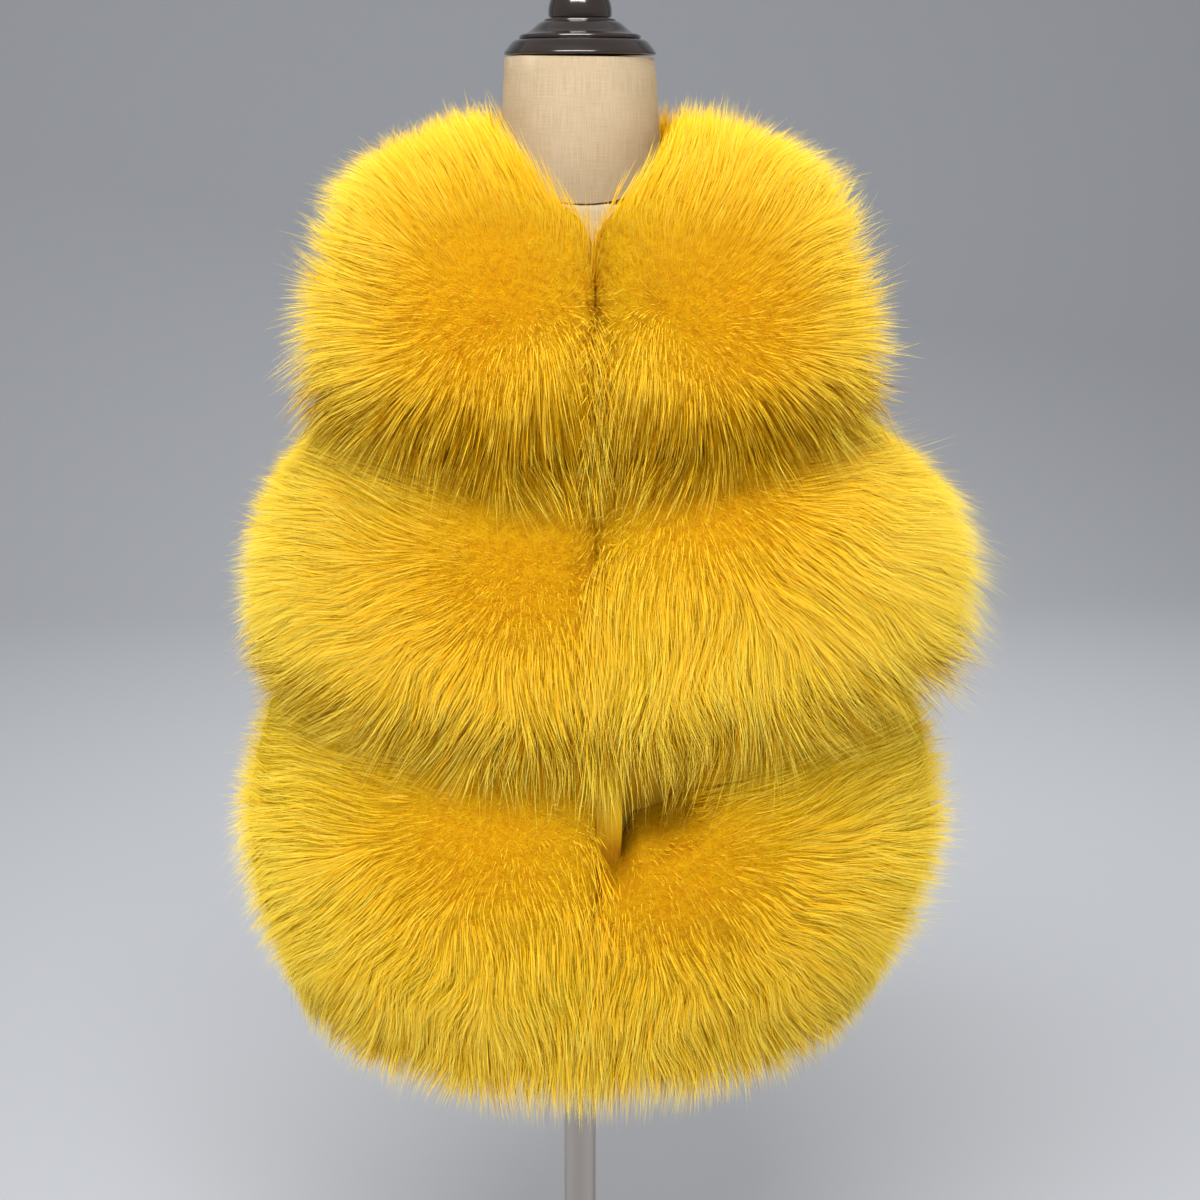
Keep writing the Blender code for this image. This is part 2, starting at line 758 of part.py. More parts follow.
def base_profile() -> list:
    """Round base with a rounded edge and a boss that takes the pole."""
    socket = POLE_RADIUS + POLE_CLEARANCE
    boss_top = BASE_HEIGHT + BOSS_HEIGHT
    floor = boss_top - SOCKET_DEPTH
    profile = [
        (0.0, floor),
        (socket, floor),
        (socket, boss_top),
        (BOSS_RADIUS - 0.002, boss_top),
        (BOSS_RADIUS, boss_top - 0.002),
        (BOSS_RADIUS, BASE_HEIGHT + 0.001),
        (BOSS_RADIUS + 0.002, BASE_HEIGHT),
    ]
    edge = (BASE_RADIUS - BASE_EDGE, BASE_HEIGHT - BASE_EDGE)
    profile += arc_points(edge, BASE_EDGE, 90.0, 0.0, 3)
    profile += [(BASE_RADIUS, 0.001), (BASE_RADIUS - 0.001, 0.0), (0.0, 0.0)]
    return profile


def flange_profile() -> list:
    """Disc under the torso with a sleeve that takes the pole's upper end."""
    socket = POLE_RADIUS + POLE_CLEARANCE
    top = TORSO_BOTTOM - SEAM_GAP
    return [
        (0.0, top),
        (FLANGE_RADIUS, top),
        (FLANGE_RADIUS, top - FLANGE_HEIGHT),
        (FLANGE_SLEEVE_RADIUS, top - FLANGE_HEIGHT),
        (FLANGE_SLEEVE_RADIUS, top - FLANGE_SLEEVE_HEIGHT),
        (socket, top - FLANGE_SLEEVE_HEIGHT),
        (socket, top - FLANGE_HEIGHT),
        (0.0, top - FLANGE_HEIGHT),
    ]


def pole_profile() -> list:
    """Straight round pole between the base's socket and the flange."""
    low = BASE_HEIGHT + BOSS_HEIGHT - SOCKET_DEPTH + SEAM_GAP
    high = TORSO_BOTTOM - FLANGE_HEIGHT - 2.0 * SEAM_GAP
    return [(0.0, high), (POLE_RADIUS, high), (POLE_RADIUS, low), (0.0, low)]


# ---------------------------------------------------------------------------------------
# Assembly
# ---------------------------------------------------------------------------------------


def clear_scene() -> None:
    """Removes every object that is in the scene."""
    for existing in list(bpy.data.objects):
        bpy.data.objects.remove(existing)


def build_garment() -> None:
    """Ground cloth, facing and the nine pieces of fur."""
    ground = material("ground_cloth", (0.42, 0.26, 0.02), 0.85)
    facing = material("facing_cloth", (0.86, 0.52, 0.01), 0.75)
    fur = material("fur", (0.93, 0.60, 0.01), 0.90)
    panels = (("front_left", (LEFT,)), ("front_right", (RIGHT,)), ("back", (RIGHT, LEFT)))
    rows = (("top", TOP_PLAN), ("middle", MIDDLE_PLAN), ("bottom", BOTTOM_PLAN))
    build_facing(facing)
    for panel, sides in panels:
        is_front = panel != "back"
        cloth = [cloth_half(side, is_front) for side in sides]
        build_wall(f"cloth_{panel}", cloth, ground.copy(), 40.0)
        for row_name, plan in rows:
            build_fur(f"fur_{row_name}_{panel}", plan, sides, is_front, fur.copy())


def build_form() -> None:
    """Torso, neck and neck cap."""
    linen = material("linen_body", (0.76, 0.66, 0.48), 0.90)
    neck_linen = material("linen_neck", (0.70, 0.58, 0.40), 0.90)
    lacquer = material("lacquered_wood", (0.045, 0.030, 0.024), 0.18)
    build_torso(linen)
    build_neck(neck_linen)
    build_turned("neck_cap", cap_profile(), lacquer)


def build_stand() -> None:
    """Flange, pole and base."""
    polished = material("polished_steel", (0.78, 0.77, 0.76), 0.12, 1.0)
    brushed = material("brushed_steel", (0.60, 0.60, 0.60), 0.32, 1.0)
    dark = material("dark_steel", (0.10, 0.10, 0.10), 0.45, 1.0)
    build_turned("pole_flange", flange_profile(), dark)
    build_turned("stand_pole", pole_profile(), polished)
    build_turned("stand_base", base_profile(), brushed)


clear_scene()
build_garment()
build_form()
build_stand()
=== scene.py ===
"""Looks of a child's fur gilet on a limbless dress form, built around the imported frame.

Metres, +Z up. The front faces -Y, and the wearer's left side is at +X. The gilet is a ground
cloth of two fronts and a back, with three tiers of fur on it. Each piece of fur is a thin pelt
with a dense undercoat and thousands of guard hairs, which are combed away from a swirl.
"""

import logging
import math
from dataclasses import dataclass, field
from enum import Enum
from typing import Optional, Sequence, Union

import bmesh
import bpy
import numpy as np
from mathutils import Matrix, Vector


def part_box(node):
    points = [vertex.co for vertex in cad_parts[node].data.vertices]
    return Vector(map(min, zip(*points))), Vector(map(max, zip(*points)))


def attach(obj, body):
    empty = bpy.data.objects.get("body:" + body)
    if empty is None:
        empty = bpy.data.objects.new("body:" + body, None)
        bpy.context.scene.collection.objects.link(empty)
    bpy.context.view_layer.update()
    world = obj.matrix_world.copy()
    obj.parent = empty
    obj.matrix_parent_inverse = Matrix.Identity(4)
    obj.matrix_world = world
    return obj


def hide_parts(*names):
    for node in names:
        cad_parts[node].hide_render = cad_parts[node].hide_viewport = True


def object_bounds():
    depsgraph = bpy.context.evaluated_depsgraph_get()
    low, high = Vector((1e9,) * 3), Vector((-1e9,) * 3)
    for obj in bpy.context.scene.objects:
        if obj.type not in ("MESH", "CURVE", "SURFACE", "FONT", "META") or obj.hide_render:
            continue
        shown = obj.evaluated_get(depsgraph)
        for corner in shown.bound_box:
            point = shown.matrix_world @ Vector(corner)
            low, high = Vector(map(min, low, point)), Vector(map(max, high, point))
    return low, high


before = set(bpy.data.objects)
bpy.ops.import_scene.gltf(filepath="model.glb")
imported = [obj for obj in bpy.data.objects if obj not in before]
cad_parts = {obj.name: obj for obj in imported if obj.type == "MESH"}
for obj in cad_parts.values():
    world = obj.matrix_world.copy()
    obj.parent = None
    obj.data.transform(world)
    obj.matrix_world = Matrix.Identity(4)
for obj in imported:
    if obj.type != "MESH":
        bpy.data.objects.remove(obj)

CAD_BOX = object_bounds()
BOX_MIDDLE = (np.array(CAD_BOX[0]) + np.array(CAD_BOX[1])) / 2.0
BOX_HALF = (np.array(CAD_BOX[1]) - np.array(CAD_BOX[0])) / 2.0
BODY = "root"
FUR_MAP = "OFBake"  # hair's own map: tone across, root to tip upwards
CLOTH_MAP = "cloth_map"  # a sheet's own map, in metres on the flat cloth
SMOOTH_UNDER = 32.0  # degrees between faces of a turned piece under which an edge is smooth
AWAY = "away"  # attribute of an undercoat: 0 in the swirl, 1 far from it

Values = Union[float, np.ndarray]  # one number, or an array of them
Socket = bpy.types.NodeSocket

log = logging.getLogger("gilet")


class Side(Enum):
    """Wearer's side, with the sign of its X."""

    LEFT = 1
    RIGHT = -1


class Tier(Enum):
    """Row of fur, from the shoulders down."""

    TOP = "top"
    MIDDLE = "middle"
    BOTTOM = "bottom"


# Small numeric helpers


def mix(low: Values, high: Values, share: Values) -> Values:
    """Value a share of the way from low to high, for numbers and arrays."""
    return low + (high - low) * share


def ease(value: Values) -> Values:
    """Smooth step from 0 to 1 of a value that is cut to that range."""
    cut = np.clip(value, 0.0, 1.0)
    return cut * cut * (3.0 - 2.0 * cut)


def unit(vectors: np.ndarray) -> np.ndarray:
    """Rows scaled to length 1."""
    return vectors / np.maximum(np.linalg.norm(vectors, axis=-1, keepdims=True), 1e-9)


def sine(degrees: Values) -> Values:
    """Sine of an angle in degrees."""
    return np.sin(np.radians(degrees))


def wander(across: np.ndarray, along: np.ndarray, scale: float, phase: float) -> np.ndarray:
    """Slow wave over a surface, from -1 to 1, that repeats nowhere near.

    Args:
        across: Place on the surface in metres.
        along: The other place in metres.
        scale: Size of a patch in metres.
        phase: Shifts the pattern.

    Returns:
        One value a point.
    """
    a, b = across / scale, along / scale
    first = np.sin(1.9 * a + 1.3 * np.sin(1.1 * b + phase) + phase)
    second = np.sin(1.7 * b - 1.2 * np.sin(1.3 * a - 2.0 * phase) + 2.3 * phase)
    third = np.sin(2.9 * (a + 0.7 * b) + 3.1 * phase)
    return (first + second + 0.6 * third) / 2.6


# Form of the ground cloth


@dataclass(frozen=True)
class Figure:
    """Outer face of the ground cloth: rings up to the yoke line, then an arch over the shoulder."""

    heights: tuple = (0.240, 0.325, 0.420, 0.500, 0.580, 0.640, 0.720)
    right: tuple = (0.164, 0.166, 0.164, 0.155, 0.148, 0.143, 0.143)
    left: tuple = (0.168, 0.172, 0.172, 0.168, 0.160, 0.149, 0.149)
    front: tuple = (0.104, 0.110, 0.112, 0.111, 0.109, 0.107, 0.107)
    back: tuple = (0.100, 0.106, 0.106, 0.104, 0.102, 0.100, 0.100)
    yoke_height: float = 0.655
    yoke_rise: float = 0.018
    middle_height: float = 0.490
    middle_rise: float = 0.028
    hem_height: float = 0.325
    hem_rise: float = -0.006
    underarm_dip: float = 0.032
    armhole_angle: float = 63.0
    armhole_scoop: float = 0.010
    crest_neck: float = 0.7935
    crest_start: float = 0.050
    crest_slope: float = 0.42
    neck_side: float = 0.058
    shoulder_half: float = 0.118
    arch_power: float = 0.83
    dip_power: float = 1.2
    armhole_power: float = 0.8
    front_neck: tuple = (0.40, 0.70)  # rise at which the neckline starts, and its curve
    back_neck: tuple = (0.66, 0.45)

    def axes(self, side: Side, is_front: bool, height: Values) -> tuple:
        """Half width and depth of the ring at a height.

        Args:
            side: The wearer's side.
            is_front: True for the front, False for the back.
            height: Height in metres.

        Returns:
            The width and the depth.
        """
        width = np.interp(height, self.heights, self.left if side is Side.LEFT else self.right)
        depth = np.interp(height, self.heights, self.front if is_front else self.back)
        return width, depth

    def ring(self, side: Side, is_front: bool, angle: Values, height: Values) -> np.ndarray:
        """Points of the rings. The angle is 0 at the centre front and 180 at the centre back.

        Args:
            side: The wearer's side.
            is_front: True for the front, False for the back.
            angle: Angle of the column in degrees.
            height: Height in metres.

        Returns:
            The points.
        """
        width, depth = self.axes(side, is_front, height)
        turn = np.radians(angle)
        flat = height + 0.0 * turn
        return np.stack([side.value * width * np.sin(turn), -depth * np.cos(turn), flat], axis=-1)

    def outward(self, side: Side, is_front: bool, angle: Values, height: Values) -> np.ndarray:
        """Level directions straight out of the rings.

        Args:
            side: The wearer's side.
            is_front: True for the front, False for the back.
            angle: Angle of the column in degrees.
            height: Height in metres.

        Returns:
            Directions of length 1.
        """
        width, depth = self.axes(side, is_front, height)
        turn = np.radians(angle)
        x = side.value * np.sin(turn) / width
        y = -np.cos(turn) / depth
        return unit(np.stack([x, y, 0.0 * x], axis=-1))

    def yoke_line(self, angle: Values) -> np.ndarray:
        """Height of the seam under the top tier, dipped under the armhole.

        Args:
            angle: Angle of the column in degrees.

        Returns:
            The height.
        """
        line = self.yoke_height + self.yoke_rise * sine(angle) ** 2
        from_side = np.minimum(angle, 180.0 - angle)
        share = np.clip((from_side - self.armhole_angle) / (90.0 - self.armhole_angle), 0.0, 1.0)
        return line - self.underarm_dip * sine(90.0 * share) ** self.dip_power

    def middle_line(self, angle: Values) -> np.ndarray:
        """Height of the seam between the middle and the bottom tier."""
        return self.middle_height + self.middle_rise * sine(angle) ** 2

    def hem_line(self, angle: Values) -> np.ndarray:
        """Height of the hem."""
        return self.hem_height + self.hem_rise * sine(angle) ** 2

    def crest(self, across: Values) -> np.ndarray:
        """Height of the shoulder seam at a distance from the centre."""
        return self.crest_neck - self.crest_slope * (across - self.crest_start)

    def neck_edge(self, is_front: bool, rise: Values) -> np.ndarray:
        """Distance of the neckline from the centre. The rise is 1 at the shoulder seam."""
        start, power = self.front_neck if is_front else self.back_neck
        return self.neck_side * np.clip((rise - start) / (1.0 - start), 0.0, 1.0) ** power

    def neck_start(self, is_front: bool) -> float:
        """Rise at which the neckline starts."""
        return (self.front_neck if is_front else self.back_neck)[0]

    def armhole_edge(self, side: Side, is_front: bool, rise: Values) -> np.ndarray:
        """Distance of the armhole's edge from the centre.

        Args:
            side: The wearer's side.
            is_front: True for the front, False for the back.
            rise: Share of the way up the yoke, 1 at the shoulder seam.

        Returns:
            The distance.
        """
        angle = self.armhole_angle if is_front else 180.0 - self.armhole_angle
        low = abs(self.ring(side, is_front, angle, self.yoke_line(np.float64(angle)))[..., 0])
        scoop = self.armhole_scoop * sine(180.0 * rise)
        up = np.clip(rise, 0.0, 1.0) ** self.armhole_power
        return mix(low, self.shoulder_half, up) - scoop

    def angle_at(self, side: Side, is_front: bool, across: Values) -> np.ndarray:
        """Angle of the yoke's column at a distance from the centre.

        Args:
            side: The wearer's side.
            is_front: True for the front, False for the back.
            across: Distance from the centre in metres.

        Returns:
            The angle in degrees.
        """
        width = self.axes(side, is_front, self.yoke_height)[0]
        angle = np.degrees(np.arcsin(np.clip(across / width, 0.0, 1.0)))
        return angle if is_front else 180.0 - angle

    def arch(self, side: Side, is_front: bool, angle: Values, rise: Values) -> np.ndarray:
        """Points above the yoke line, which arch over the shoulder.

        Args:
            side: The wearer's side.
            is_front: True for the front, False for the back.
            angle: Angle of the column in degrees.
            rise: Share of the way up the yoke, 1 at the shoulder seam.

        Returns:
            The points.
        """
        foot = self.ring(side, is_front, angle, self.yoke_line(angle))
        turn = np.radians(90.0 * np.clip(rise, 0.0, 1.0))
        forward = np.maximum(np.cos(turn), 0.0) ** self.arch_power
        up = np.sin(turn) ** self.arch_power
        height = mix(foot[..., 2], self.crest(np.abs(foot[..., 0])), up)
        return np.stack([foot[..., 0], foot[..., 1] * forward, height], axis=-1)


FIGURE = Figure()


@dataclass(frozen=True)
class Nap:
    """Reach of one tier's pile from the cloth, and height of its hanging tips."""

    front: float
    right: float
    left: float
    back: float
    tips_centre: float
    tips_side: float
    close: float = 0.0  # share of the reach lost at the tips, where the hem's pile turns in
    centre_dip: float = 0.12  # share of the reach lost where the two fronts meet
    dip_angle: float = 9.0
    tips_power: float = 1.4

    def full(self, side: Side, is_front: bool, angle: Values) -> np.ndarray:
        """Full reach at an angle. It dips where the two fronts meet.

        Args:
            side: The wearer's side.
            is_front: True for the front, False for the back.
            angle: Angle of the column in degrees.

        Returns:
            The reach in metres.
        """
        at_side = self.left if side is Side.LEFT else self.right
        reach = mix(self.front if is_front else self.back, at_side, sine(angle) ** 2)
        if is_front:
            reach = reach * (1.0 - self.centre_dip * np.exp(-((angle / self.dip_angle) ** 2)))
        return reach

    def tips(self, angle: Values) -> np.ndarray:
        """Height of the hanging tips at an angle."""
        power = np.abs(sine(angle)) ** self.tips_power
        return mix(self.tips_centre, self.tips_side, power)


NAPS = {
    Tier.TOP: Nap(0.053, 0.056, 0.060, 0.046, 0.619, 0.654),
    Tier.MIDDLE: Nap(0.058, 0.056, 0.083, 0.050, 0.455, 0.493),
    Tier.BOTTOM: Nap(0.056, 0.054, 0.063, 0.050, 0.247, 0.263, 0.72),
}


# Pelts


@dataclass(frozen=True)
class Swirl:
    """Where the hair of a pelt stands straight out, as shares across and down."""

    across: float
    down: float


@dataclass
class Pelt:
    """One side of a piece of fur. u runs from the centre to the side, w from the top seam down.

    At w = 1 the backing ends, and the pile hangs on to w = 1 + hang(u).
    """

    tier: Tier
    side: Side
    is_front: bool
    swirl: Swirl
    below: Optional["Pelt"] = None
    height: float = 0.165
    bare_depth: float = 0.0  # share of the way down to which the cloth beside the facing is bare
    full_width: float = 0.215
    overrun: tuple = (-0.04, 1.06)  # how far u may run past the centre and the side
    window: tuple = (0.12, 0.24)  # share across at which the bare cloth ends, and over how much
    strip: tuple = (0.055, 0.03)  # the same on the facing, which is bare further down
    strip_depth: float = 0.14
    clear_of_below: float = 0.0065  # metres between the hanging pile and the tier below

    crown: tuple = (0.0, 0.07, 0.18, 0.34, 0.56, 0.77, 0.92, 1.0)
    crown_reach: tuple = (0.30, 0.52, 0.74, 0.91, 1.0, 1.0, 0.96, 0.945)

    def angle(self, u: Values, w: Values) -> np.ndarray:
        """Angle of a column."""
        turn = 90.0 * np.clip(u, *self.overrun) + 0.0 * w
        return turn if self.is_front else 180.0 - turn

    def bare(self, u: Values) -> np.ndarray:
        """Share of the way down at which the pile starts, where the smooth cloth shows above it.

        Args:
            u: Share across, from the centre to the side.

        Returns:
            The share.
        """
        if self.bare_depth == 0.0:
            return 0.0 * u
        beside = self.bare_depth * (1.0 - ease((u - self.window[0]) / self.window[1]))
        on_strip = 1.0 - ease((u - self.strip[0]) / self.strip[1])
        return beside + self.strip_depth * on_strip

    def crossing(self, w: Values) -> np.ndarray:
        """How freely tips lie across the centre line, less where the facing shows.

        Args:
            w: Share down, from the top seam.

        Returns:
            Factor of the tips' lap.
        """
        if self.tier is Tier.TOP:
            return mix(1.0, 2.2, ease((w - 0.55) / 0.10))
        shows = self.tier is Tier.BOTTOM and self.is_front
        low = 1.0 if not shows else 0.4 if self.side is Side.RIGHT else 0.0
        return mix(low, 1.0, ease((w - 0.34) / 0.12))

    def edge(self, u: Values, w: Values) -> np.ndarray:
        """Nearness of an open edge of the garment, negative for the neckline. None here."""
        return 0.0 * u * w

    def lines(self, angle: Values) -> tuple:
        """Heights of the seam above and the seam below.

        Args:
            angle: Angle of the column in degrees.

        Returns:
            The two heights.
        """
        if self.tier is Tier.BOTTOM:
            return FIGURE.middle_line(angle), FIGURE.hem_line(angle)
        return FIGURE.yoke_line(angle), FIGURE.middle_line(angle)

    def width(self, w: Values) -> np.ndarray:
        """Length of the pelt from the centre to the side, at the middle of its pile."""
        return self.full_width + 0.0 * w

    def away(self, u: Values, w: Values) -> np.ndarray:
        """Distance from the swirl, in metres on the cloth."""
        across = (u - self.swirl.across) * self.width(w)
        return np.hypot(across, (w - self.swirl.down) * self.height)

    def hang(self, u: Values) -> np.ndarray:
        """How far the tips hang under the backing, as a share of the pelt's height.

        Args:
            u: Share across, from the centre to the side.

        Returns:
            The share.
        """
        angle = self.angle(u, 0.0 * u)
        top, bottom = self.lines(angle)
        return (bottom - NAPS[self.tier].tips(angle)) / (top - bottom)

    def root(self, u: Values, w: Values) -> tuple:
        """Points on the cloth under the pelt, and the directions straight out of it.

        Args:
            u: Share across, from the centre to the side.
            w: Share down, from the top seam.

        Returns:
            The points and the directions.
        """
        angle = self.angle(u, w)
        top, bottom = self.lines(angle)
        height = mix(top, bottom, w)
        point = FIGURE.ring(self.side, self.is_front, angle, height)
        return point, FIGURE.outward(self.side, self.is_front, angle, height)

    def level_reach(self, angle: Values, height: Values) -> np.ndarray:
        """Reach of the pile at a height, for the tier above to hang clear of.

        Args:
            angle: Angle of the column in degrees.
            height: Height in metres.

        Returns:
            The reach in metres.
        """
        top, bottom = self.lines(angle)
        share = np.interp((top - height) / (top - bottom), self.crown, self.crown_reach)
        return share * NAPS[self.tier].full(self.side, self.is_front, angle)

    def reach(self, u: Values, w: Values) -> np.ndarray:
        """Reach of the pile. Under the backing it narrows, but stays off the tier below.

        Args:
            u: Share across, from the centre to the side.
            w: Share down, from the top seam.

        Returns:
            The reach in metres.
        """
        angle = self.angle(u, w)
        full = NAPS[self.tier].full(self.side, self.is_front, angle)
        crown = np.interp(w, self.crown, self.crown_reach)
        share = np.clip((w - 1.0) / np.maximum(self.hang(u), 0.01), 0.0, 1.2)
        reach = full * np.where(w > 1.0, 0.945 - 0.19 * share ** 1.4, crown)
        turning_in = 0.42 * np.clip((w - 0.60) / 0.40, 0.0, 1.0) ** 1.5
        closing = np.where(w > 1.0, 0.42 + 0.58 * share, turning_in)
        close = NAPS[self.tier].close * mix(0.45, 1.0, sine(angle) ** 2)
        reach = reach * (1.0 - close * closing)
        if self.below is not None:
            height = self.root(u, w)[0][..., 2]
            clear = self.below.level_reach(angle, height) + self.clear_of_below
            reach = np.where(w > 1.0, np.maximum(reach, clear), reach)
        return reach

    def face(self, u: Values, w: Values, share: Values = 1.0) -> tuple:
        """Points at a share of the pile's reach, and their outward directions."""
        point, out = self.root(u, w)
        return point + out * (self.reach(u, w) * share)[..., None], out


@dataclass
class YokePelt(Pelt):
    """One side of a top piece, which runs over the chest or the back to the shoulder seam."""

    height: float = 0.150
    overrun: tuple = (-0.06, 1.04)
    top_rise: float = 0.9975
    curve: float = 1.15  # length of the yoke's cloth against its width
    shoulder_lean: float = 50.0
    opening: float = 15.0  # degrees by which the pile leans off the V neck
    settled: float = 0.30  # rise above which the pile has its full form

    def rise(self, w: Values) -> np.ndarray:
        """Share of the way up the yoke."""
        return np.clip(1.0 - w, 0.0, self.top_rise)

    def angle(self, u: Values, w: Values) -> np.ndarray:
        """Angle of a column between the neckline and the armhole.

        Args:
            u: Share across, from the centre to the side.
            w: Share down, from the top seam.

        Returns:
            The angle in degrees.
        """
        rise = self.rise(w)
        inner = FIGURE.angle_at(self.side, self.is_front, FIGURE.neck_edge(self.is_front, rise))
        edge = FIGURE.armhole_edge(self.side, self.is_front, rise)
        outer = FIGURE.angle_at(self.side, self.is_front, edge)
        return mix(inner, outer, np.clip(u, *self.overrun))

    def lines(self, angle: Values) -> tuple:
        """Heights of the shoulder seam's level and of the yoke line, a fixed height apart."""
        line = FIGURE.yoke_line(angle)
        return line + self.height, line

    def width(self, w: Values) -> np.ndarray:
        """Length of the pelt from the neckline to the armhole.

        Args:
            w: Share down, from the top seam.

        Returns:
            The length in metres.
        """
        rise = self.rise(w)
        edge = FIGURE.armhole_edge(self.side, self.is_front, rise)
        return self.curve * (edge - FIGURE.neck_edge(self.is_front, rise))

    def hang(self, u: Values) -> np.ndarray:
        """How far the tips hang under the backing, as a share of the pelt's height."""
        angle = self.angle(u, 1.0 + 0.0 * u)
        return (FIGURE.yoke_line(angle) - NAPS[Tier.TOP].tips(angle)) / self.height

    def root(self, u: Values, w: Values) -> tuple:
        """Points on the cloth, and the way the pile leans: out, then up over the shoulder.

        Args:
            u: Share across, from the centre to the side.
            w: Share down, from the top seam.

        Returns:
            The points and the directions.
        """
        angle = self.angle(u, w)
        rise = self.rise(w)
        line = FIGURE.yoke_line(angle)
        low = FIGURE.ring(self.side, self.is_front, angle, line - (w - 1.0) * self.height)
        high = FIGURE.arch(self.side, self.is_front, angle, rise)
        point = np.where((w > 1.0)[..., None], low, high)
        spread = 26.0 * u ** 2 * np.minimum(rise / self.settled, 1.0)
        turned = angle + spread if self.is_front else angle - spread
        level = FIGURE.outward(self.side, self.is_front, turned, FIGURE.yoke_height)
        start = FIGURE.neck_start(self.is_front)
        neck_lean = 2.0 * np.clip((rise - start) / (1.0 - start), 0.0, 1.0)
        lean = np.radians(mix(neck_lean, self.shoulder_lean, u) * ease(u / 0.1))
        if self.is_front:
            open_out = self.opening * ease((rise - 0.20) / 0.22) * (1.0 - ease(u / 0.30))
            open_out = open_out * mix(1.0, 0.4, ease((rise - 0.70) / 0.30))
            lean = lean + np.radians(open_out)
        up = np.stack([self.side.value * np.sin(lean), 0.0 * lean, np.cos(lean)], axis=-1)
        tilt = np.radians(90.0 * rise)[..., None]
        return point, unit(np.cos(tilt) * level + np.sin(tilt) * up)

    def edge(self, u: Values, w: Values) -> np.ndarray:
        """Nearness of the armhole, or of the neckline as a negative share.

        Args:
            u: Share across, from the centre to the side.
            w: Share down, from the top seam.

        Returns:
            The nearness.
        """
        above = self.rise(w) - FIGURE.neck_start(self.is_front)
        neck = 0.6 * ease((0.14 - u) / 0.14) * ease(above / 0.10)
        return ease((u - 0.80) / 0.20) - neck

    def level_reach(self, angle: Values, height: Values) -> np.ndarray:
        """The top tier has none above it."""
        return 0.0 * angle

    def reach(self, u: Values, w: Values) -> np.ndarray:
        """Reach of the pile, from the tips over the yoke line up to the shoulder seam.

        Args:
            u: Share across, from the centre to the side.
            w: Share down, from the top seam.

        Returns:
            The reach in metres.
        """
        under = super().reach(u, w)
        angle = self.angle(u, w)
        rise = self.rise(w)
        full = NAPS[Tier.TOP].full(self.side, self.is_front, angle)
        low = mix(full, 0.064, u ** 2 * np.minimum(rise / self.settled, 1.0))
        high = mix(0.044, 0.050 if self.side is Side.LEFT else 0.038, u)
        over = mix(low, high, rise ** 1.5) * mix(0.955, 1.0, ease(rise / 0.15))
        return np.where(w > 1.0, under, over)


# Mesh helpers


def linked(name: str, data: bpy.types.ID) -> bpy.types.Object:
    """New object in the scene.

    Args:
        name: Name of the object.
        data: Its mesh, light or camera.

    Returns:
        The object.
    """
    made = bpy.data.objects.new(name, data)
    bpy.context.scene.collection.objects.link(made)
    return made


def close_normals(piece: bpy.types.Object) -> None:
    """Merges doubles and turns the faces of a closed shell outward.

    Args:
        piece: The piece.
    """
    shape = bmesh.new()
    shape.from_mesh(piece.data)
    bmesh.ops.remove_doubles(shape, verts=shape.verts, dist=1e-6)
    bmesh.ops.recalc_face_normals(shape, faces=shape.faces)
    shape.to_mesh(piece.data)
    shape.free()


def join(parts: Sequence[bpy.types.Object], name: str) -> bpy.types.Object:
    """Joins objects into the first one and names it.

    Args:
        parts: The objects.
        name: Name of the piece.

    Returns:
        The joined object.
    """
    select_only(*parts)
    if len(parts) > 1:
        bpy.ops.object.join()
    parts[0].name = parts[0].data.name = name
    return parts[0]


def select_only(*pieces: bpy.types.Object) -> None:
    """Selects these objects alone, with the first one active.

    Args:
        pieces: The objects.
    """
    bpy.ops.object.select_all(action="DESELECT")
    for piece in pieces:
        piece.select_set(True)
    bpy.context.view_layer.objects.active = pieces[0]


def apply_all(piece: bpy.types.Object) -> None:
    """Applies every modifier of a piece.

    Args:
        piece: The piece.
    """
    select_only(piece)
    for modifier in list(piece.modifiers):
        bpy.ops.object.modifier_apply(modifier=modifier.name)


def spun(name: str, profile: Sequence[tuple], steps: int, smooth: float) -> bpy.types.Object:
    """Turns a profile about the axis with the spin tool.

    Args:
        name: Name of the piece.
        profile: Radius and height of each point, from the axis round to the axis again.
        steps: Number of steps in the turn.
        smooth: Angle in degrees under which an edge is shaded smooth.

    Returns:
        The closed turned piece, at the origin.
    """
    bpy.ops.object.select_all(action="DESELECT")
    mesh = bpy.data.meshes.new(name)
    made = linked(name, mesh)
    points = [(radius, 0.0, height) for radius, height in profile]
    mesh.from_pydata(points, [(i, i + 1) for i in range(len(points) - 1)], [])
    select_only(made)
    bpy.ops.object.mode_set(mode="EDIT")
    bpy.ops.mesh.select_all(action="SELECT")
    middle, axis = (0.0, 0.0, 0.0), (0.0, 0.0, 1.0)
    bpy.ops.mesh.spin(steps=steps, angle=2.0 * math.pi, center=middle, axis=axis)
    bpy.ops.mesh.select_all(action="SELECT")
    bpy.ops.mesh.remove_doubles(threshold=0.00002)
    bpy.ops.mesh.normals_make_consistent(inside=False)
    bpy.ops.object.mode_set(mode="OBJECT")
    bpy.ops.object.shade_smooth_by_angle(angle=math.radians(smooth))
    return made


def arc(centre: tuple, radius: float, start: float, end: float, steps: int) -> list:
    """Points of an arc in a profile, with angles in degrees."""
    turns = [math.radians(mix(start, end, step / steps)) for step in range(steps + 1)]
    return [(centre[0] + radius * math.cos(t), centre[1] + radius * math.sin(t)) for t in turns]


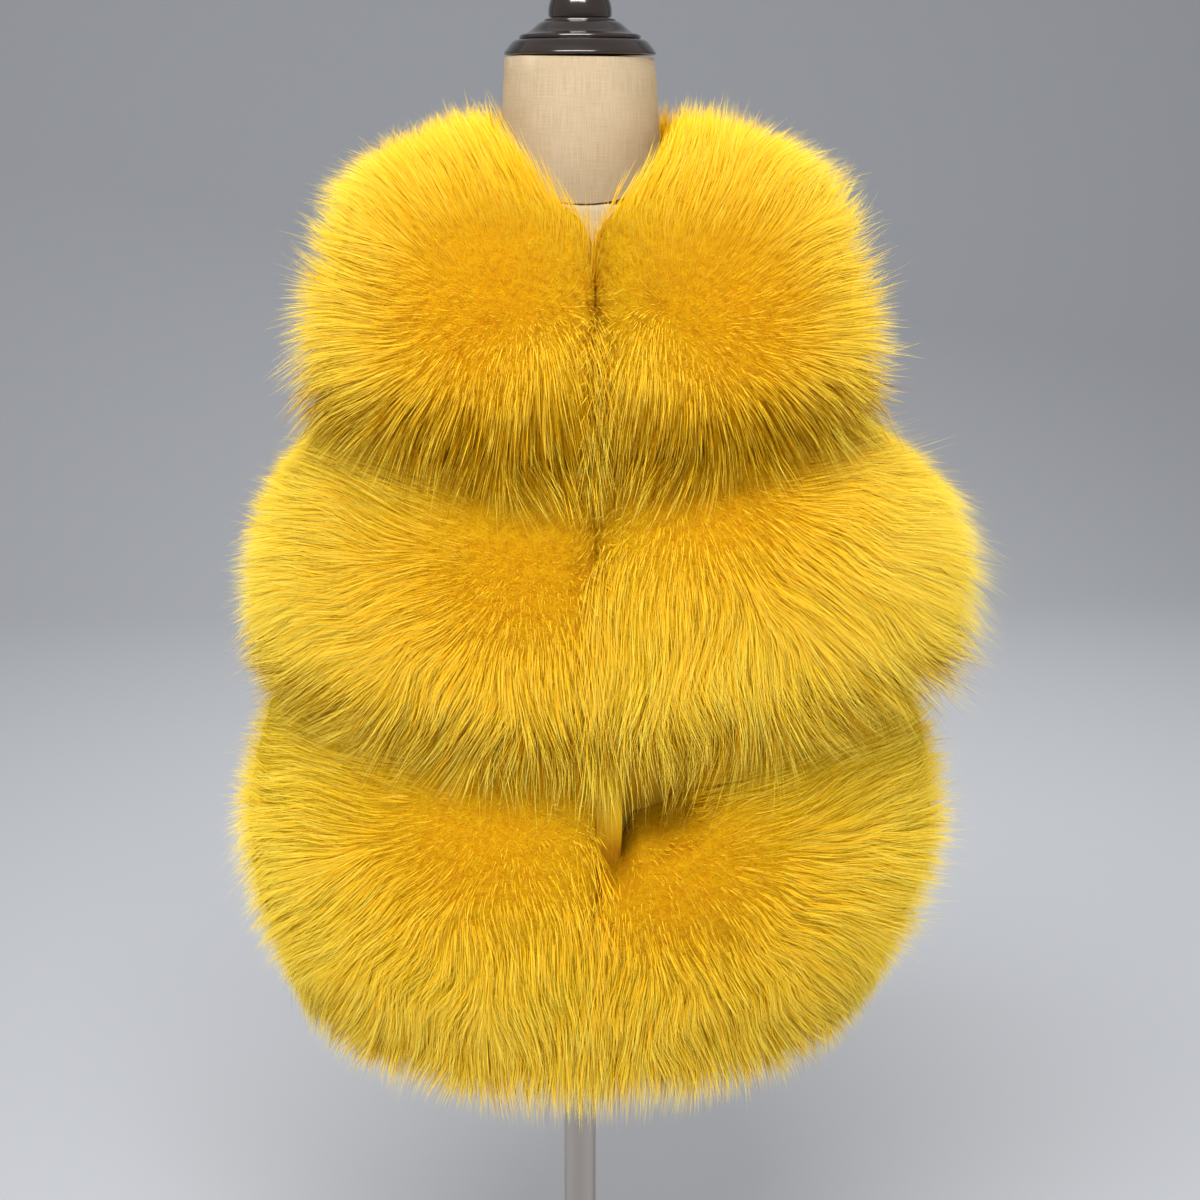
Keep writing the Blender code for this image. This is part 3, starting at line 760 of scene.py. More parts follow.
def mesh_piece(name: str, points: np.ndarray, faces: list, maps: dict) -> bpy.types.Object:
    """Makes a linked mesh object from arrays.

    Args:
        name: Name of the object and its mesh.
        points: Vertices, one row each.
        faces: Arrays of faces with the same number of corners in each array.
        maps: UV maps by name, with one row for each vertex.

    Returns:
        The new object.
    """
    mesh = bpy.data.meshes.new(name)
    corners = np.concatenate([block.ravel() for block in faces]).astype(np.int32)
    totals = np.concatenate([np.full(len(block), block.shape[1]) for block in faces])
    mesh.vertices.add(len(points))
    mesh.vertices.foreach_set("co", points.astype(np.float32).ravel())
    mesh.loops.add(len(corners))
    mesh.loops.foreach_set("vertex_index", corners)
    mesh.polygons.add(len(totals))
    starts = np.concatenate([[0], np.cumsum(totals)[:-1]]).astype(np.int32)
    mesh.polygons.foreach_set("loop_start", starts)
    mesh.update(calc_edges=True)
    for map_name, places in maps.items():
        layer = mesh.uv_layers.new(name=map_name, do_init=False)
        layer.data.foreach_set("uv", places[corners].astype(np.float32).ravel())
    mesh.polygons.foreach_set("use_smooth", np.ones(len(totals), bool))
    return linked(name, mesh)


def grid_faces(rows: int, columns: int, start: int = 0, turned: bool = False) -> np.ndarray:
    """Quads of a grid whose vertices are numbered row by row.

    Args:
        rows: Number of rows.
        columns: Number of columns.
        start: Number of the first vertex.
        turned: True to turn the faces over.

    Returns:
        One row for each quad.
    """
    index = np.arange(rows * columns).reshape(rows, columns) + start
    quads = np.stack([index[:-1, :-1], index[:-1, 1:], index[1:, 1:], index[1:, :-1]], axis=-1)
    quads = quads.reshape(-1, 4)
    return quads[:, ::-1] if turned else quads


def shell(name: str, inner: np.ndarray, outer: np.ndarray, flat: np.ndarray) -> bpy.types.Object:
    """Closed thin shell between two grids of points.

    Args:
        name: Name of the object.
        inner: Grid of points of the inner face, as rows, columns and XYZ.
        outer: The same for the outer face.
        flat: Grid of places on the flat cloth, in metres.

    Returns:
        The shell, with its normals outward.
    """
    rows, columns = outer.shape[:2]
    count = rows * columns
    index = np.arange(count).reshape(rows, columns)
    rim = np.concatenate([index[0, :-1], index[:-1, -1], index[-1, :0:-1], index[:0:-1, 0]])
    after = np.roll(rim, -1)
    wall = np.stack([rim, after, after + count, rim + count], axis=-1)
    faces = [grid_faces(rows, columns), grid_faces(rows, columns, count, True), wall[:, ::-1]]
    points = np.concatenate([outer.reshape(-1, 3), inner.reshape(-1, 3)])
    places = np.concatenate([flat.reshape(-1, 2)] * 2)
    made = mesh_piece(name, points, faces, {CLOTH_MAP: places})
    close_normals(made)
    return made


def place(piece: bpy.types.Object, finish: bpy.types.Material, slot: str, *nodes: str) -> None:
    """Dresses a piece and lets it ride on the body, in the place of its CAD nodes.

    Args:
        piece: The piece.
        finish: Its material.
        slot: Name of a material slot. Not used.
        nodes: CAD nodes that the piece stands in for.
    """
    piece.data.materials.append(finish)
    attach(piece, BODY)
    if nodes:
        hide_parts(*nodes)


# Materials


class Graph:
    """Node tree of one material or group, with short calls for what the finishes need."""

    def __init__(self, tree: bpy.types.NodeTree) -> None:
        """Keeps the tree that nodes are added to."""
        self.tree = tree

    def node(self, kind: str, **values) -> bpy.types.Node:
        """Adds a node and sets its properties.

        Args:
            kind: Blender's name of the kind of node.
            values: Properties by name.

        Returns:
            The node.
        """
        made = self.tree.nodes.new(kind)
        for name, value in values.items():
            setattr(made, name, value)
        return made

    def link(self, source: Socket, target: Socket) -> None:
        """Joins two sockets."""
        self.tree.links.new(source, target)

    def feed(self, node: bpy.types.Node, inputs: dict) -> bpy.types.Node:
        """Sets or joins a node's inputs by name or index.

        Args:
            node: The node.
            inputs: Values or sockets, by the input's name or index.

        Returns:
            The node.
        """
        for key, value in inputs.items():
            socket = node.inputs[key]
            if isinstance(value, bpy.types.NodeSocket):
                self.link(value, socket)
            else:
                socket.default_value = value
        return node

    def maths(self, operation: str, first: object, second: object = 0.0, third: object = 0.0,
              clamp: bool = False) -> Socket:
        """Output of a Math node."""
        made = self.node("ShaderNodeMath", operation=operation, use_clamp=clamp)
        return self.feed(made, {0: first, 1: second, 2: third}).outputs[0]

    def blend(self, share: object, first: object, second: object, kind: str = "MIX") -> Socket:
        """Output of a colour Mix node.

        Args:
            share: Share of the second, as a value or socket.
            first: First value or socket.
            second: Second value or socket.
            kind: Blender's name of the blend.

        Returns:
            The colour socket.
        """
        made = self.node("ShaderNodeMix", data_type="RGBA", blend_type=kind)
        self.feed(made, {0: share, 6: first, 7: second})
        return made.outputs[2]

    def two_tone(self, share: object, dark: tuple, light: tuple) -> Socket:
        """Colour between two opaque tones."""
        return self.blend(share, (*dark, 1.0), (*light, 1.0))

    def on_object(self) -> Socket:
        """Places in the object's own space, in metres."""
        return self.node("ShaderNodeTexCoord").outputs["Object"]

    def noise(self, vector: Socket, scale: float, detail: float = 3.0,
              rough: float = 0.5) -> Socket:
        """Value output of a Noise texture.

        Args:
            vector: Places, as a socket.
            scale: Scale of the pattern.
            detail: Octaves.
            rough: Weight of the finer octaves.

        Returns:
            The value socket.
        """
        made = self.node("ShaderNodeTexNoise")
        self.feed(made, {"Vector": vector, "Scale": scale, "Detail": detail, "Roughness": rough})
        return made.outputs[0]

    def stretched(self, vector: Socket, scale: object) -> Socket:
        """Vector scaled along each axis."""
        made = self.node("ShaderNodeMapping")
        return self.feed(made, {"Vector": vector, "Scale": scale}).outputs[0]

    def ramp(self, value: Socket, stops: Sequence[tuple]) -> Socket:
        """Colour output of a Color Ramp with stops of (place, colour).

        Args:
            value: Value to look up, as a socket.
            stops: Places and colours of the stops.

        Returns:
            The colour socket.
        """
        made = self.node("ShaderNodeValToRGB")
        elements = made.color_ramp.elements
        elements[0].position, elements[1].position = stops[0][0], stops[-1][0]
        elements[0].color, elements[1].color = (*stops[0][1], 1.0), (*stops[-1][1], 1.0)
        for position, colour in stops[1:-1]:
            elements.new(position).color = (*colour, 1.0)
        self.link(value, made.inputs[0])
        return made.outputs[0]

    def bump(self, height: Socket, strength: float, distance: float) -> Socket:
        """Normal output of a Bump node.

        Args:
            height: Height, as a socket.
            strength: Strength of the bump.
            distance: Depth of the bump in metres.

        Returns:
            The normal socket.
        """
        made = self.node("ShaderNodeBump")
        self.feed(made, {"Height": height, "Strength": strength, "Distance": distance})
        return made.outputs[0]


class EffectGroup:
    """Shader node group with named sockets, built once and placed in each material that uses it."""

    name = ""
    inputs: dict = {}
    outputs: tuple = ()

    @classmethod
    def fill(cls, graph: Graph, entry: bpy.types.bpy_prop_collection,
             leave: bpy.types.Node) -> None:
        """Adds the nodes between the group's input sockets and its output node.

        Args:
            graph: Graph of the group's tree.
            entry: Output sockets of the group's input node, by name.
            leave: The group's output node.
        """

    @classmethod
    def tree(cls) -> bpy.types.NodeTree:
        """The group's node tree, made on first use.

        Returns:
            The tree.
        """
        found = bpy.data.node_groups.get(cls.name)
        if found:
            return found
        made = bpy.data.node_groups.new(cls.name, "ShaderNodeTree")
        for name, value in cls.inputs.items():
            kind = "NodeSocketVector" if isinstance(value, tuple) else "NodeSocketFloat"
            made.interface.new_socket(name, in_out="INPUT", socket_type=kind).default_value = value
        for name in cls.outputs:
            made.interface.new_socket(name, in_out="OUTPUT", socket_type="NodeSocketFloat")
        graph = Graph(made)
        cls.fill(graph, graph.node("NodeGroupInput").outputs, graph.node("NodeGroupOutput"))
        return made

    @classmethod
    def place(cls, graph: Graph, values: dict) -> bpy.types.bpy_prop_collection:
        """Places the group in a material's graph.

        Args:
            graph: The material's graph.
            values: The material's own values or sockets, by input name.

        Returns:
            The outputs of the placed group, by name.
        """
        return graph.feed(graph.node("ShaderNodeGroup", node_tree=cls.tree()), values).outputs


MAPPED = {"Vector": (0.0, 0.0, 0.0), "Stretch": (1.0, 1.0, 1.0)}


class Grain(EffectGroup):
    """Noise stretched along the axes, for threads, streaks, wood grain and tool marks."""

    name = "stretched_grain"
    inputs = {**MAPPED, "Detail": 3.0, "Roughness": 0.6}
    outputs = ("Value",)

    @classmethod
    def fill(cls, graph: Graph, entry: bpy.types.bpy_prop_collection,
             leave: bpy.types.Node) -> None:
        """One Noise texture in the stretched space.

        Args:
            graph: Graph of the group's tree.
            entry: Output sockets of the group's input node, by name.
            leave: The group's output node.
        """
        places = graph.stretched(entry["Vector"], entry["Stretch"])
        value = graph.noise(places, 1.0, entry["Detail"], entry["Roughness"])
        graph.feed(leave, {"Value": value})


class Weave(EffectGroup):
    """Fine threads both ways with streaks of nap down the cloth."""

    name = "cloth_weave"
    inputs = {"Vector": (0.0, 0.0, 0.0), "Nap": 1.0}
    outputs = ("Tone", "Height")

    @classmethod
    def fill(cls, graph: Graph, entry: bpy.types.bpy_prop_collection,
             leave: bpy.types.Node) -> None:
        """Warp times weft, with the streaks added by their share.

        Args:
            graph: Graph of the group's tree.
            entry: Output sockets of the group's input node, by name.
            leave: The group's output node.
        """
        threads = {"Vector": entry["Vector"], "Detail": 2.0, "Roughness": 0.5}
        warp = Grain.place(graph, {**threads, "Stretch": (2600.0, 260.0, 1.0)})["Value"]
        weft = Grain.place(graph, {**threads, "Stretch": (260.0, 2600.0, 1.0)})["Value"]
        along = {"Vector": entry["Vector"], "Stretch": (520.0, 34.0, 1.0), "Detail": 4.0}
        streak = Grain.place(graph, along)["Value"]
        nap = graph.maths("MULTIPLY", streak, entry["Nap"])
        height = graph.maths("ADD", graph.maths("MULTIPLY", warp, weft), nap)
        tone = graph.maths("MULTIPLY_ADD", streak, 2.2, -0.6, clamp=True)
        graph.feed(leave, {"Tone": tone, "Height": height})


class Marks(EffectGroup):
    """Fine marks and soft smudges of handled metal, as one mask."""

    name = "metal_marks"
    inputs = {**MAPPED, "Smudge": 0.4}
    outputs = ("Mask",)

    @classmethod
    def fill(cls, graph: Graph, entry: bpy.types.bpy_prop_collection,
             leave: bpy.types.Node) -> None:
        """Blends the marks into the smudges.

        Args:
            graph: Graph of the group's tree.
            entry: Output sockets of the group's input node, by name.
            leave: The group's output node.
        """
        shape = {"Vector": entry["Vector"], "Stretch": entry["Stretch"], "Roughness": 0.7}
        mark = Grain.place(graph, shape)["Value"]
        smudge = graph.noise(entry["Vector"], 35.0, 2.0)
        step = graph.maths("MULTIPLY", graph.maths("SUBTRACT", smudge, mark), entry["Smudge"])
        graph.feed(leave, {"Mask": graph.maths("ADD", mark, step)})


def new_material(name: str) -> tuple:
    """Makes a material.

    Args:
        name: Name of the material.

    Returns:
        The material, its graph, and its Principled shader.
    """
    made = bpy.data.materials.new(name)
    made.use_nodes = True
    return made, Graph(made.node_tree), made.node_tree.nodes["Principled BSDF"]


@dataclass(frozen=True)
class HairFinish:
    """Dyed fox hair: golden at the root, darkened there partly by painted shade deep in the pile,
    vivid in the middle, lemon at the tip. Hairs of the lowest tones are darkened by painted shade.
    """

    name: str = "fur_hair"
    # The dark brown at place 0.0 of these two ramps is partly the roots' own colour and partly
    # painted shade deep in the pile.
    deep_stops: tuple = (
        (0.0, (0.34, 0.110, 0.001)),
        (0.45, (0.78, 0.330, 0.001)),
        (0.80, (0.90, 0.500, 0.002)),
        (1.0, (0.90, 0.600, 0.008)),
    )
    pale_stops: tuple = (
        (0.0, (0.38, 0.160, 0.001)),
        (0.45, (0.84, 0.520, 0.003)),
        (0.78, (0.86, 0.700, 0.035)),
        (1.0, (0.90, 0.800, 0.190)),
    )
    # Painted shade: multiplies hairs of tone under 0.10 down to dark brown, for the shadow under a
    # row's hanging tips.
    painted_shade_stops: tuple = (
        (0.0, (0.36, 0.27, 0.40)),
        (0.06, (0.54, 0.45, 0.50)),
        (0.10, (1.0, 1.0, 1.0)),
        (1.0, (1.0, 1.0, 1.0)),
    )
    roughness: float = 0.50
    diffuse_roughness: float = 0.80

    def build(self) -> bpy.types.Material:
        """Makes the material. The map's U is the hair's tone and its V runs from root to tip; a U
        under 0.10 darkens the hair with painted shade.

        Returns:
            The material.
        """
        made, graph, shader = new_material(self.name)
        place_on = graph.node("ShaderNodeUVMap", uv_map=FUR_MAP)
        parts = graph.node("ShaderNodeSeparateXYZ")
        graph.link(place_on.outputs[0], parts.inputs[0])
        deep = graph.ramp(parts.outputs[1], self.deep_stops)
        pale = graph.ramp(parts.outputs[1], self.pale_stops)
        dyed = graph.blend(parts.outputs[0], deep, pale)
        # Painted shade for the hairs whose tone is under 0.10.
        shade = graph.ramp(parts.outputs[0], self.painted_shade_stops)
        colour = graph.blend(1.0, dyed, shade, "MULTIPLY")
        graph.feed(shader, {"Base Color": colour, "Roughness": self.roughness,
                            "Specular IOR Level": 0.0, "Diffuse Roughness": self.diffuse_roughness})
        return made


@dataclass(frozen=True)
class UndercoatFinish:
    """Dense short wool between the hairs, and the pelt's skin under it."""

    name: str = "fur_undercoat"
    dark: tuple = (0.78, 0.270, 0.001)
    light: tuple = (0.93, 0.510, 0.002)
    far_dark: tuple = (0.62, 0.330, 0.002)
    far_light: tuple = (0.86, 0.600, 0.008)
    roughness: float = 0.85
    fine_scale: float = 900.0
    tuft_scale: float = 240.0
    depth: float = 0.0030  # of the tufts, in metres

    def build(self) -> bpy.types.Material:
        """Makes the material, with a fine tufted bump.

        Returns:
            The material.
        """
        made, graph, shader = new_material(self.name)
        places = graph.on_object()
        fine = graph.noise(places, self.fine_scale, 4.0, 0.7)
        tuft = graph.noise(places, self.tuft_scale, 3.0, 0.6)
        height = graph.maths("ADD", fine, tuft)
        share = graph.maths("MULTIPLY_ADD", height, 1.4, -0.9, clamp=True)
        near = graph.two_tone(share, self.dark, self.light)
        far = graph.two_tone(share, self.far_dark, self.far_light)
        away = graph.node("ShaderNodeAttribute", attribute_name=AWAY).outputs["Fac"]
        graph.feed(shader, {"Base Color": graph.blend(away, near, far),
                            "Normal": graph.bump(height, 1.0, self.depth),
                            "Roughness": self.roughness, "Specular IOR Level": 0.1})
        return made


@dataclass(frozen=True)
class ClothFinish:
    """Smooth cloth with a fine weave: the ground cloth, or the facing with its short nap."""

    name: str
    dark: tuple
    light: tuple
    nap: float  # strength of the nap's streaks
    roughness: float = 0.80

    def build(self) -> bpy.types.Material:
        """Makes the material from threads both ways and streaks down the cloth.

        Returns:
            The material.
        """
        made, graph, shader = new_material(self.name)
        places = graph.node("ShaderNodeUVMap", uv_map=CLOTH_MAP).outputs[0]
        weave = Weave.place(graph, {"Vector": places, "Nap": self.nap})
        graph.feed(shader, {"Base Color": graph.two_tone(weave["Tone"], self.dark, self.light),
                            "Normal": graph.bump(weave["Height"], 0.7, 0.0006),
                            "Roughness": self.roughness, "Specular IOR Level": 0.2})
        return made


@dataclass(frozen=True)
class LinenFinish:
    """Natural linen in plain weave, with slubs, drawn tight round the form."""

    name: str = "linen"
    dark: tuple = (0.41, 0.305, 0.180)
    light: tuple = (0.59, 0.475, 0.320)
    pitch: float = 0.00075  # metres between threads
    radius: float = 0.047  # of the neck, which the threads are counted round
    slub_share: float = 0.75
    cross_share: float = 0.45
    cloud_share: float = 0.35

    def build(self) -> bpy.types.Material:
        """Makes the material from Object coordinates, unrolled round the axis.

        Returns:
            The material.
        """
        made, graph, shader = new_material(self.name)
        parts = graph.node("ShaderNodeSeparateXYZ")
        graph.link(graph.on_object(), parts.inputs[0])
        forward = graph.maths("MULTIPLY", parts.outputs[1], -1.0)
        turn = graph.maths("ARCTAN2", parts.outputs[0], forward)
        across = graph.maths("MULTIPLY", turn, self.radius)
        flat = graph.node("ShaderNodeCombineXYZ")
        graph.feed(flat, {0: across, 1: parts.outputs[2], 2: 0.0})
        places = flat.outputs[0]
        turns = 2.0 * math.pi / self.pitch
        warp = graph.maths("SINE", graph.maths("MULTIPLY", across, turns))
        weft = graph.maths("SINE", graph.maths("MULTIPLY", parts.outputs[2], turns))
        weave = graph.maths("MULTIPLY", warp, weft)
        slubs = {"Vector": places, "Roughness": 0.65}
        slub = Grain.place(graph, {**slubs, "Stretch": (1500.0, 55.0, 1.0)})["Value"]
        cross = Grain.place(graph, {**slubs, "Stretch": (60.0, 1500.0, 1.0)})["Value"]
        cloud = graph.noise(places, 26.0, 2.0)
        sum_up = graph.maths("MULTIPLY", slub, self.slub_share)
        sum_up = graph.maths("MULTIPLY_ADD", cross, self.cross_share, sum_up)
        sum_up = graph.maths("MULTIPLY_ADD", cloud, self.cloud_share, sum_up)
        share = graph.maths("MULTIPLY_ADD", sum_up, 1.8, -0.90, clamp=True)
        height = graph.maths("MULTIPLY_ADD", weave, 0.25, sum_up)
        graph.feed(shader, {"Base Color": graph.two_tone(share, self.dark, self.light),
                            "Normal": graph.bump(height, 0.8, 0.0004),
                            "Roughness": 0.85, "Specular IOR Level": 0.2})
        return made


@dataclass(frozen=True)
class LacquerFinish:
    """Turned wood under dark brown gloss lacquer, with fine tool rings and a little dust."""

    name: str = "lacquer"
    dark: tuple = (0.004, 0.0025, 0.002)
    light: tuple = (0.026, 0.014, 0.009)

    def build(self) -> bpy.types.Material:
        """Makes the material.

        Returns:
            The material.
        """
        made, graph, shader = new_material(self.name)
        places = graph.on_object()
        along = {"Vector": places, "Stretch": (40.0, 40.0, 420.0), "Detail": 4.0}
        grain = Grain.place(graph, along)["Value"]
        dust = graph.noise(places, 700.0, 3.0, 0.7)
        graph.feed(shader, {"Base Color": graph.two_tone(grain, self.dark, self.light),
                            "Normal": graph.bump(grain, 0.25, 0.0003),
                            "Roughness": graph.maths("MULTIPLY_ADD", dust, 0.14, 0.12),
                            "Coat Weight": 0.8, "Coat Roughness": 0.06, "Specular IOR Level": 0.6})
        return made


@dataclass(frozen=True)
class SteelFinish:
    """Metal with fine marks round or along the turned piece."""

    name: str
    colour: tuple
    roughness: float
    marks: tuple  # scale of the marks along X, Y and Z
    spread: float  # how much the marks change the roughness
    dulling: float = 0.86  # how dark the metal is between the marks

    def build(self) -> bpy.types.Material:
        """Makes the material.

        Returns:
            The material.
        """
        made, graph, shader = new_material(self.name)
        places = graph.on_object()
        share = Marks.place(graph, {"Vector": places, "Stretch": self.marks})["Mask"]
        darker = tuple(value * self.dulling for value in self.colour)
        rough = graph.maths("MULTIPLY_ADD", share, self.spread, self.roughness)
        graph.feed(shader, {"Base Color": graph.two_tone(share, darker, self.colour),
                            "Roughness": rough, "Metallic": 1.0})
        return made


GROUND_CLOTH = ClothFinish("ground_cloth", (0.36, 0.20, 0.008), (0.56, 0.33, 0.012), 0.3)
FACING_NAP = ClothFinish("facing_nap", (0.78, 0.44, 0.008), (0.90, 0.60, 0.030), 1.0)
# The chrome's warm, dimmed colour is painted reflection of darker, warmer surroundings.
CHROME = SteelFinish("chrome", (0.50, 0.455, 0.42), 0.07, (900.0, 900.0, 8.0), 0.08)
SATIN_STEEL = SteelFinish("satin_steel", (0.62, 0.62, 0.62), 0.26, (70.0, 70.0, 900.0), 0.16)
DARK_STEEL = SteelFinish("dark_steel", (0.10, 0.10, 0.10), 0.40, (300.0, 300.0, 300.0), 0.15)


# Fur


@dataclass(frozen=True)
class Comb:
    """How the hair of a pelt lies."""

    sweep: float = 0.80  # how far a tip lies from its root, as a share of the reach
    swirl_spread: float = 0.064  # metres from the swirl over which the hair lies down
    droop: float = 0.16  # downward share under the swirl
    waver: float = 0.45  # radians by which the locks turn to and fro
    stand: float = 0.60  # how high a hair stands before it bends over
    tuft: float = 0.0032  # metres between locks
    gather: float = 0.13  # how far the tips of a lock come together


@dataclass
class Pile:
    """Guard hairs and underfur of one piece of fur, as thin ribbons in one mesh."""

    pelts: Sequence[Pelt]
    guards: int
    underfur: int
    seed: int
    comb: Comb = field(default_factory=Comb)
    guard_width: float = 0.00044
    under_width: float = 0.00048
    overhang: float = 0.016  # how far a tip may reach past the CAD box
    cells: tuple = (40, 60)  # across and down, in which the tips are scattered by area
    hem_crowd: float = 1.7  # how much denser the hem's last tips stand
    lap: float = 0.020  # share across by which tips lie over the centre and the side
    shoulder_lap: float = 0.010  # metres by which they lie over the shoulder seam
    neck_bulge: float = 0.004  # metres by which the pile rounds out over an edge
    armhole_bulge: float = 0.016
    guard_steps: tuple = (0.57, 0.80, 1.0)  # shares of a hair's curve at its ribbon's points
    under_steps: tuple = (0.62, 1.0)
    wisps: float = 0.07  # share of guard hairs that stand out past the others
    pale: float = 0.36  # share of guard hairs with lemon tips, away from the swirl

    def sow(self, pelt: Pelt, count: int, rng: np.random.Generator) -> tuple:
        """Scatters tips evenly over the outer face of the pile.

        Args:
            pelt: The side of the piece.
            count: Number of tips.
            rng: Source of the scatter.

        Returns:
            Shares u and w of the tips.
        """
        columns, rows = self.cells
        u, h = np.meshgrid((np.arange(columns) + 0.5) / columns, (np.arange(rows) + 0.5) / rows)
        step = 0.5 / rows
        end = 1.0 + pelt.hang(u)
        corners = [pelt.face(u + a * 0.5 / columns, (h + b * step) * end)[0]
                   for a, b in ((-1, 0), (1, 0), (0, -1), (0, 1))]
        area = np.linalg.norm(np.cross(corners[1] - corners[0], corners[3] - corners[2]), axis=-1)
        if pelt.tier is Tier.BOTTOM:
            area = area * (1.0 + self.hem_crowd * ease((h * end - 0.98) / 0.15))
        area = np.maximum(area, area.mean() * 0.25).ravel()
        cell = rng.choice(area.size, count, p=area / area.sum())
        tip_u = u.ravel()[cell] + (rng.random(count) - 0.5) / columns
        tip_u = tip_u + rng.normal(0.0, 0.012, count)
        tip_h = h.ravel()[cell] + (rng.random(count) - 0.5) / rows
        tip_w = tip_h * (1.0 + pelt.hang(tip_u))
        crossing = self.lap * pelt.crossing(tip_w) * np.abs(rng.normal(0.0, 1.0, count))
        tip_u = tip_u - crossing * (1.0 - ease(tip_u / 0.10))
        if pelt.tier is not Tier.TOP:
            lapped = self.lap * np.abs(rng.normal(0.0, 1.0, count))
            tip_u = tip_u + lapped * (1.0 - ease((1.0 - tip_u) / 0.10))
        kept = tip_w > pelt.bare(tip_u) + rng.normal(0.0, 0.018, count)
        return tip_u[kept], tip_w[kept]

    def comb_back(self, pelt: Pelt, u: np.ndarray, w: np.ndarray, phase: float) -> tuple:
        """Finds where on the backing the hair with a given tip grows.

        Args:
            pelt: The side of the piece.
            u: Shares across of the tips.
            w: Shares down of the tips.
            phase: Shifts the pattern from piece to piece.

        Returns:
            Shares u and w of the roots.
        """
        comb = self.comb
        across = (u - pelt.swirl.across) * pelt.width(w)
        down = (w - pelt.swirl.down) * pelt.height
        away = np.hypot(across, down) + 1e-6
        full = NAPS[pelt.tier].full(pelt.side, pelt.is_front, pelt.angle(u, w))
        sweep = comb.sweep * full * (1.0 - np.exp(-((away / comb.swirl_spread) ** 2)))
        step_u = sweep * across / away
        step_w = sweep * down / away
        step_w = step_w + comb.droop * full * ease((down + 0.02) / 0.06)
        turn = comb.waver * wander(u * pelt.width(w), w * pelt.height, 0.020, phase)
        step_u, step_w = (
            step_u * np.cos(turn) - step_w * np.sin(turn),
            step_u * np.sin(turn) + step_w * np.cos(turn),
        )
        from_centre = u * pelt.width(w)
        step_u = np.where(step_u < 0.0, step_u * ease(0.25 + from_centre / 0.05), step_u)
        step_u = step_u * (1.0 - 0.75 * ease((u - 0.72) / 0.28))
        step_w = np.where(step_w < 0.0, step_w * ease(w / 0.35), step_w)
        root_u = np.clip(u - step_u / pelt.width(w), 0.0, 1.0)
        root_w = np.clip(w - step_w / pelt.height, 0.004, 0.996)
        return root_u, root_w

    def bend(self, pelt: Pelt, u: np.ndarray, w: np.ndarray, phase: float) -> tuple:
        """Root, middle and tip of the curve that a hair follows, and its outward direction.

        Args:
            pelt: The side of the piece.
            u: Shares across of the tips.
            w: Shares down of the tips.
            phase: Shifts the pattern from piece to piece.

        Returns:
            Points of the root, the middle and the tip, and the directions.
        """
        root_u, root_w = self.comb_back(pelt, u, w, phase)
        root, out = pelt.root(root_u, root_w)
        tip, tip_out = pelt.face(u, w)
        rise = pelt.reach(root_u, root_w) * self.comb.stand
        return root, root + out * rise[:, None], tip, tip_out

    def spill(self, pelt: Pelt, u: np.ndarray, w: np.ndarray, rng: np.random.Generator) -> tuple:
        """Rounds the pile off at open edges and fills the underside of the hem.

        Args:
            pelt: The side of the piece.
            u: Shares across of the tips.
            w: Shares down of the tips.
            rng: Source of the scatter.

        Returns:
            Share of the reach that each hair keeps, and its move sideways over the edge.
        """
        edge = pelt.edge(u, w)
        lost = np.abs(edge) * rng.random(len(u)) ** 1.5 * 0.9
        if pelt.tier is Tier.BOTTOM:
            under = (rng.random(len(u)) < 0.45) * ease((w - 0.98) / 0.10)
            lost = np.maximum(lost, 0.7 * under * rng.random(len(u)))
        near = np.clip(u, 0.0, 0.98)
        sideways = unit(pelt.face(near + 0.02, w)[0] - pelt.face(near, w)[0])
        bulge = np.sqrt(np.maximum(1.0 - (1.0 - lost) ** 2, 0.0))
        bulge = bulge * np.where(edge < 0.0, -self.neck_bulge, self.armhole_bulge)
        return 1.0 - lost, sideways * (bulge * (np.abs(edge) > 0.01))[:, None]

    def locks(self, pelt: Pelt, u: np.ndarray, w: np.ndarray, phase: float) -> tuple:
        """Centre of the lock that each tip belongs to.

        Args:
            pelt: The side of the piece.
            u: Shares across of the tips.
            w: Shares down of the tips.
            phase: Shifts the pattern from piece to piece.

        Returns:
            Shares u and w of the locks' centres, and two random shares for each.
        """
        size = self.comb.tuft
        width, height = pelt.width(w), pelt.height
        a = u * width / size + 0.6 * wander(u * width, w * height, 0.018, phase)
        b = w * height / size + 0.6 * wander(w * height, u * width, 0.018, phase + 1.7)
        cell_a, cell_b = np.floor(a), np.floor(b)
        seed = np.sin(cell_a * 127.1 + cell_b * 311.7 + phase) * 43758.5453
        jitter = seed - np.floor(seed)
        second = np.sin(cell_a * 269.5 + cell_b * 183.3 + phase) * 28001.8384
        other = second - np.floor(second)
        shift_a = (cell_a + 0.25 + 0.5 * jitter - a) * size
        shift_b = (cell_b + 0.25 + 0.5 * other - b) * size
        return u + shift_a / width, w + shift_b / height, jitter, other

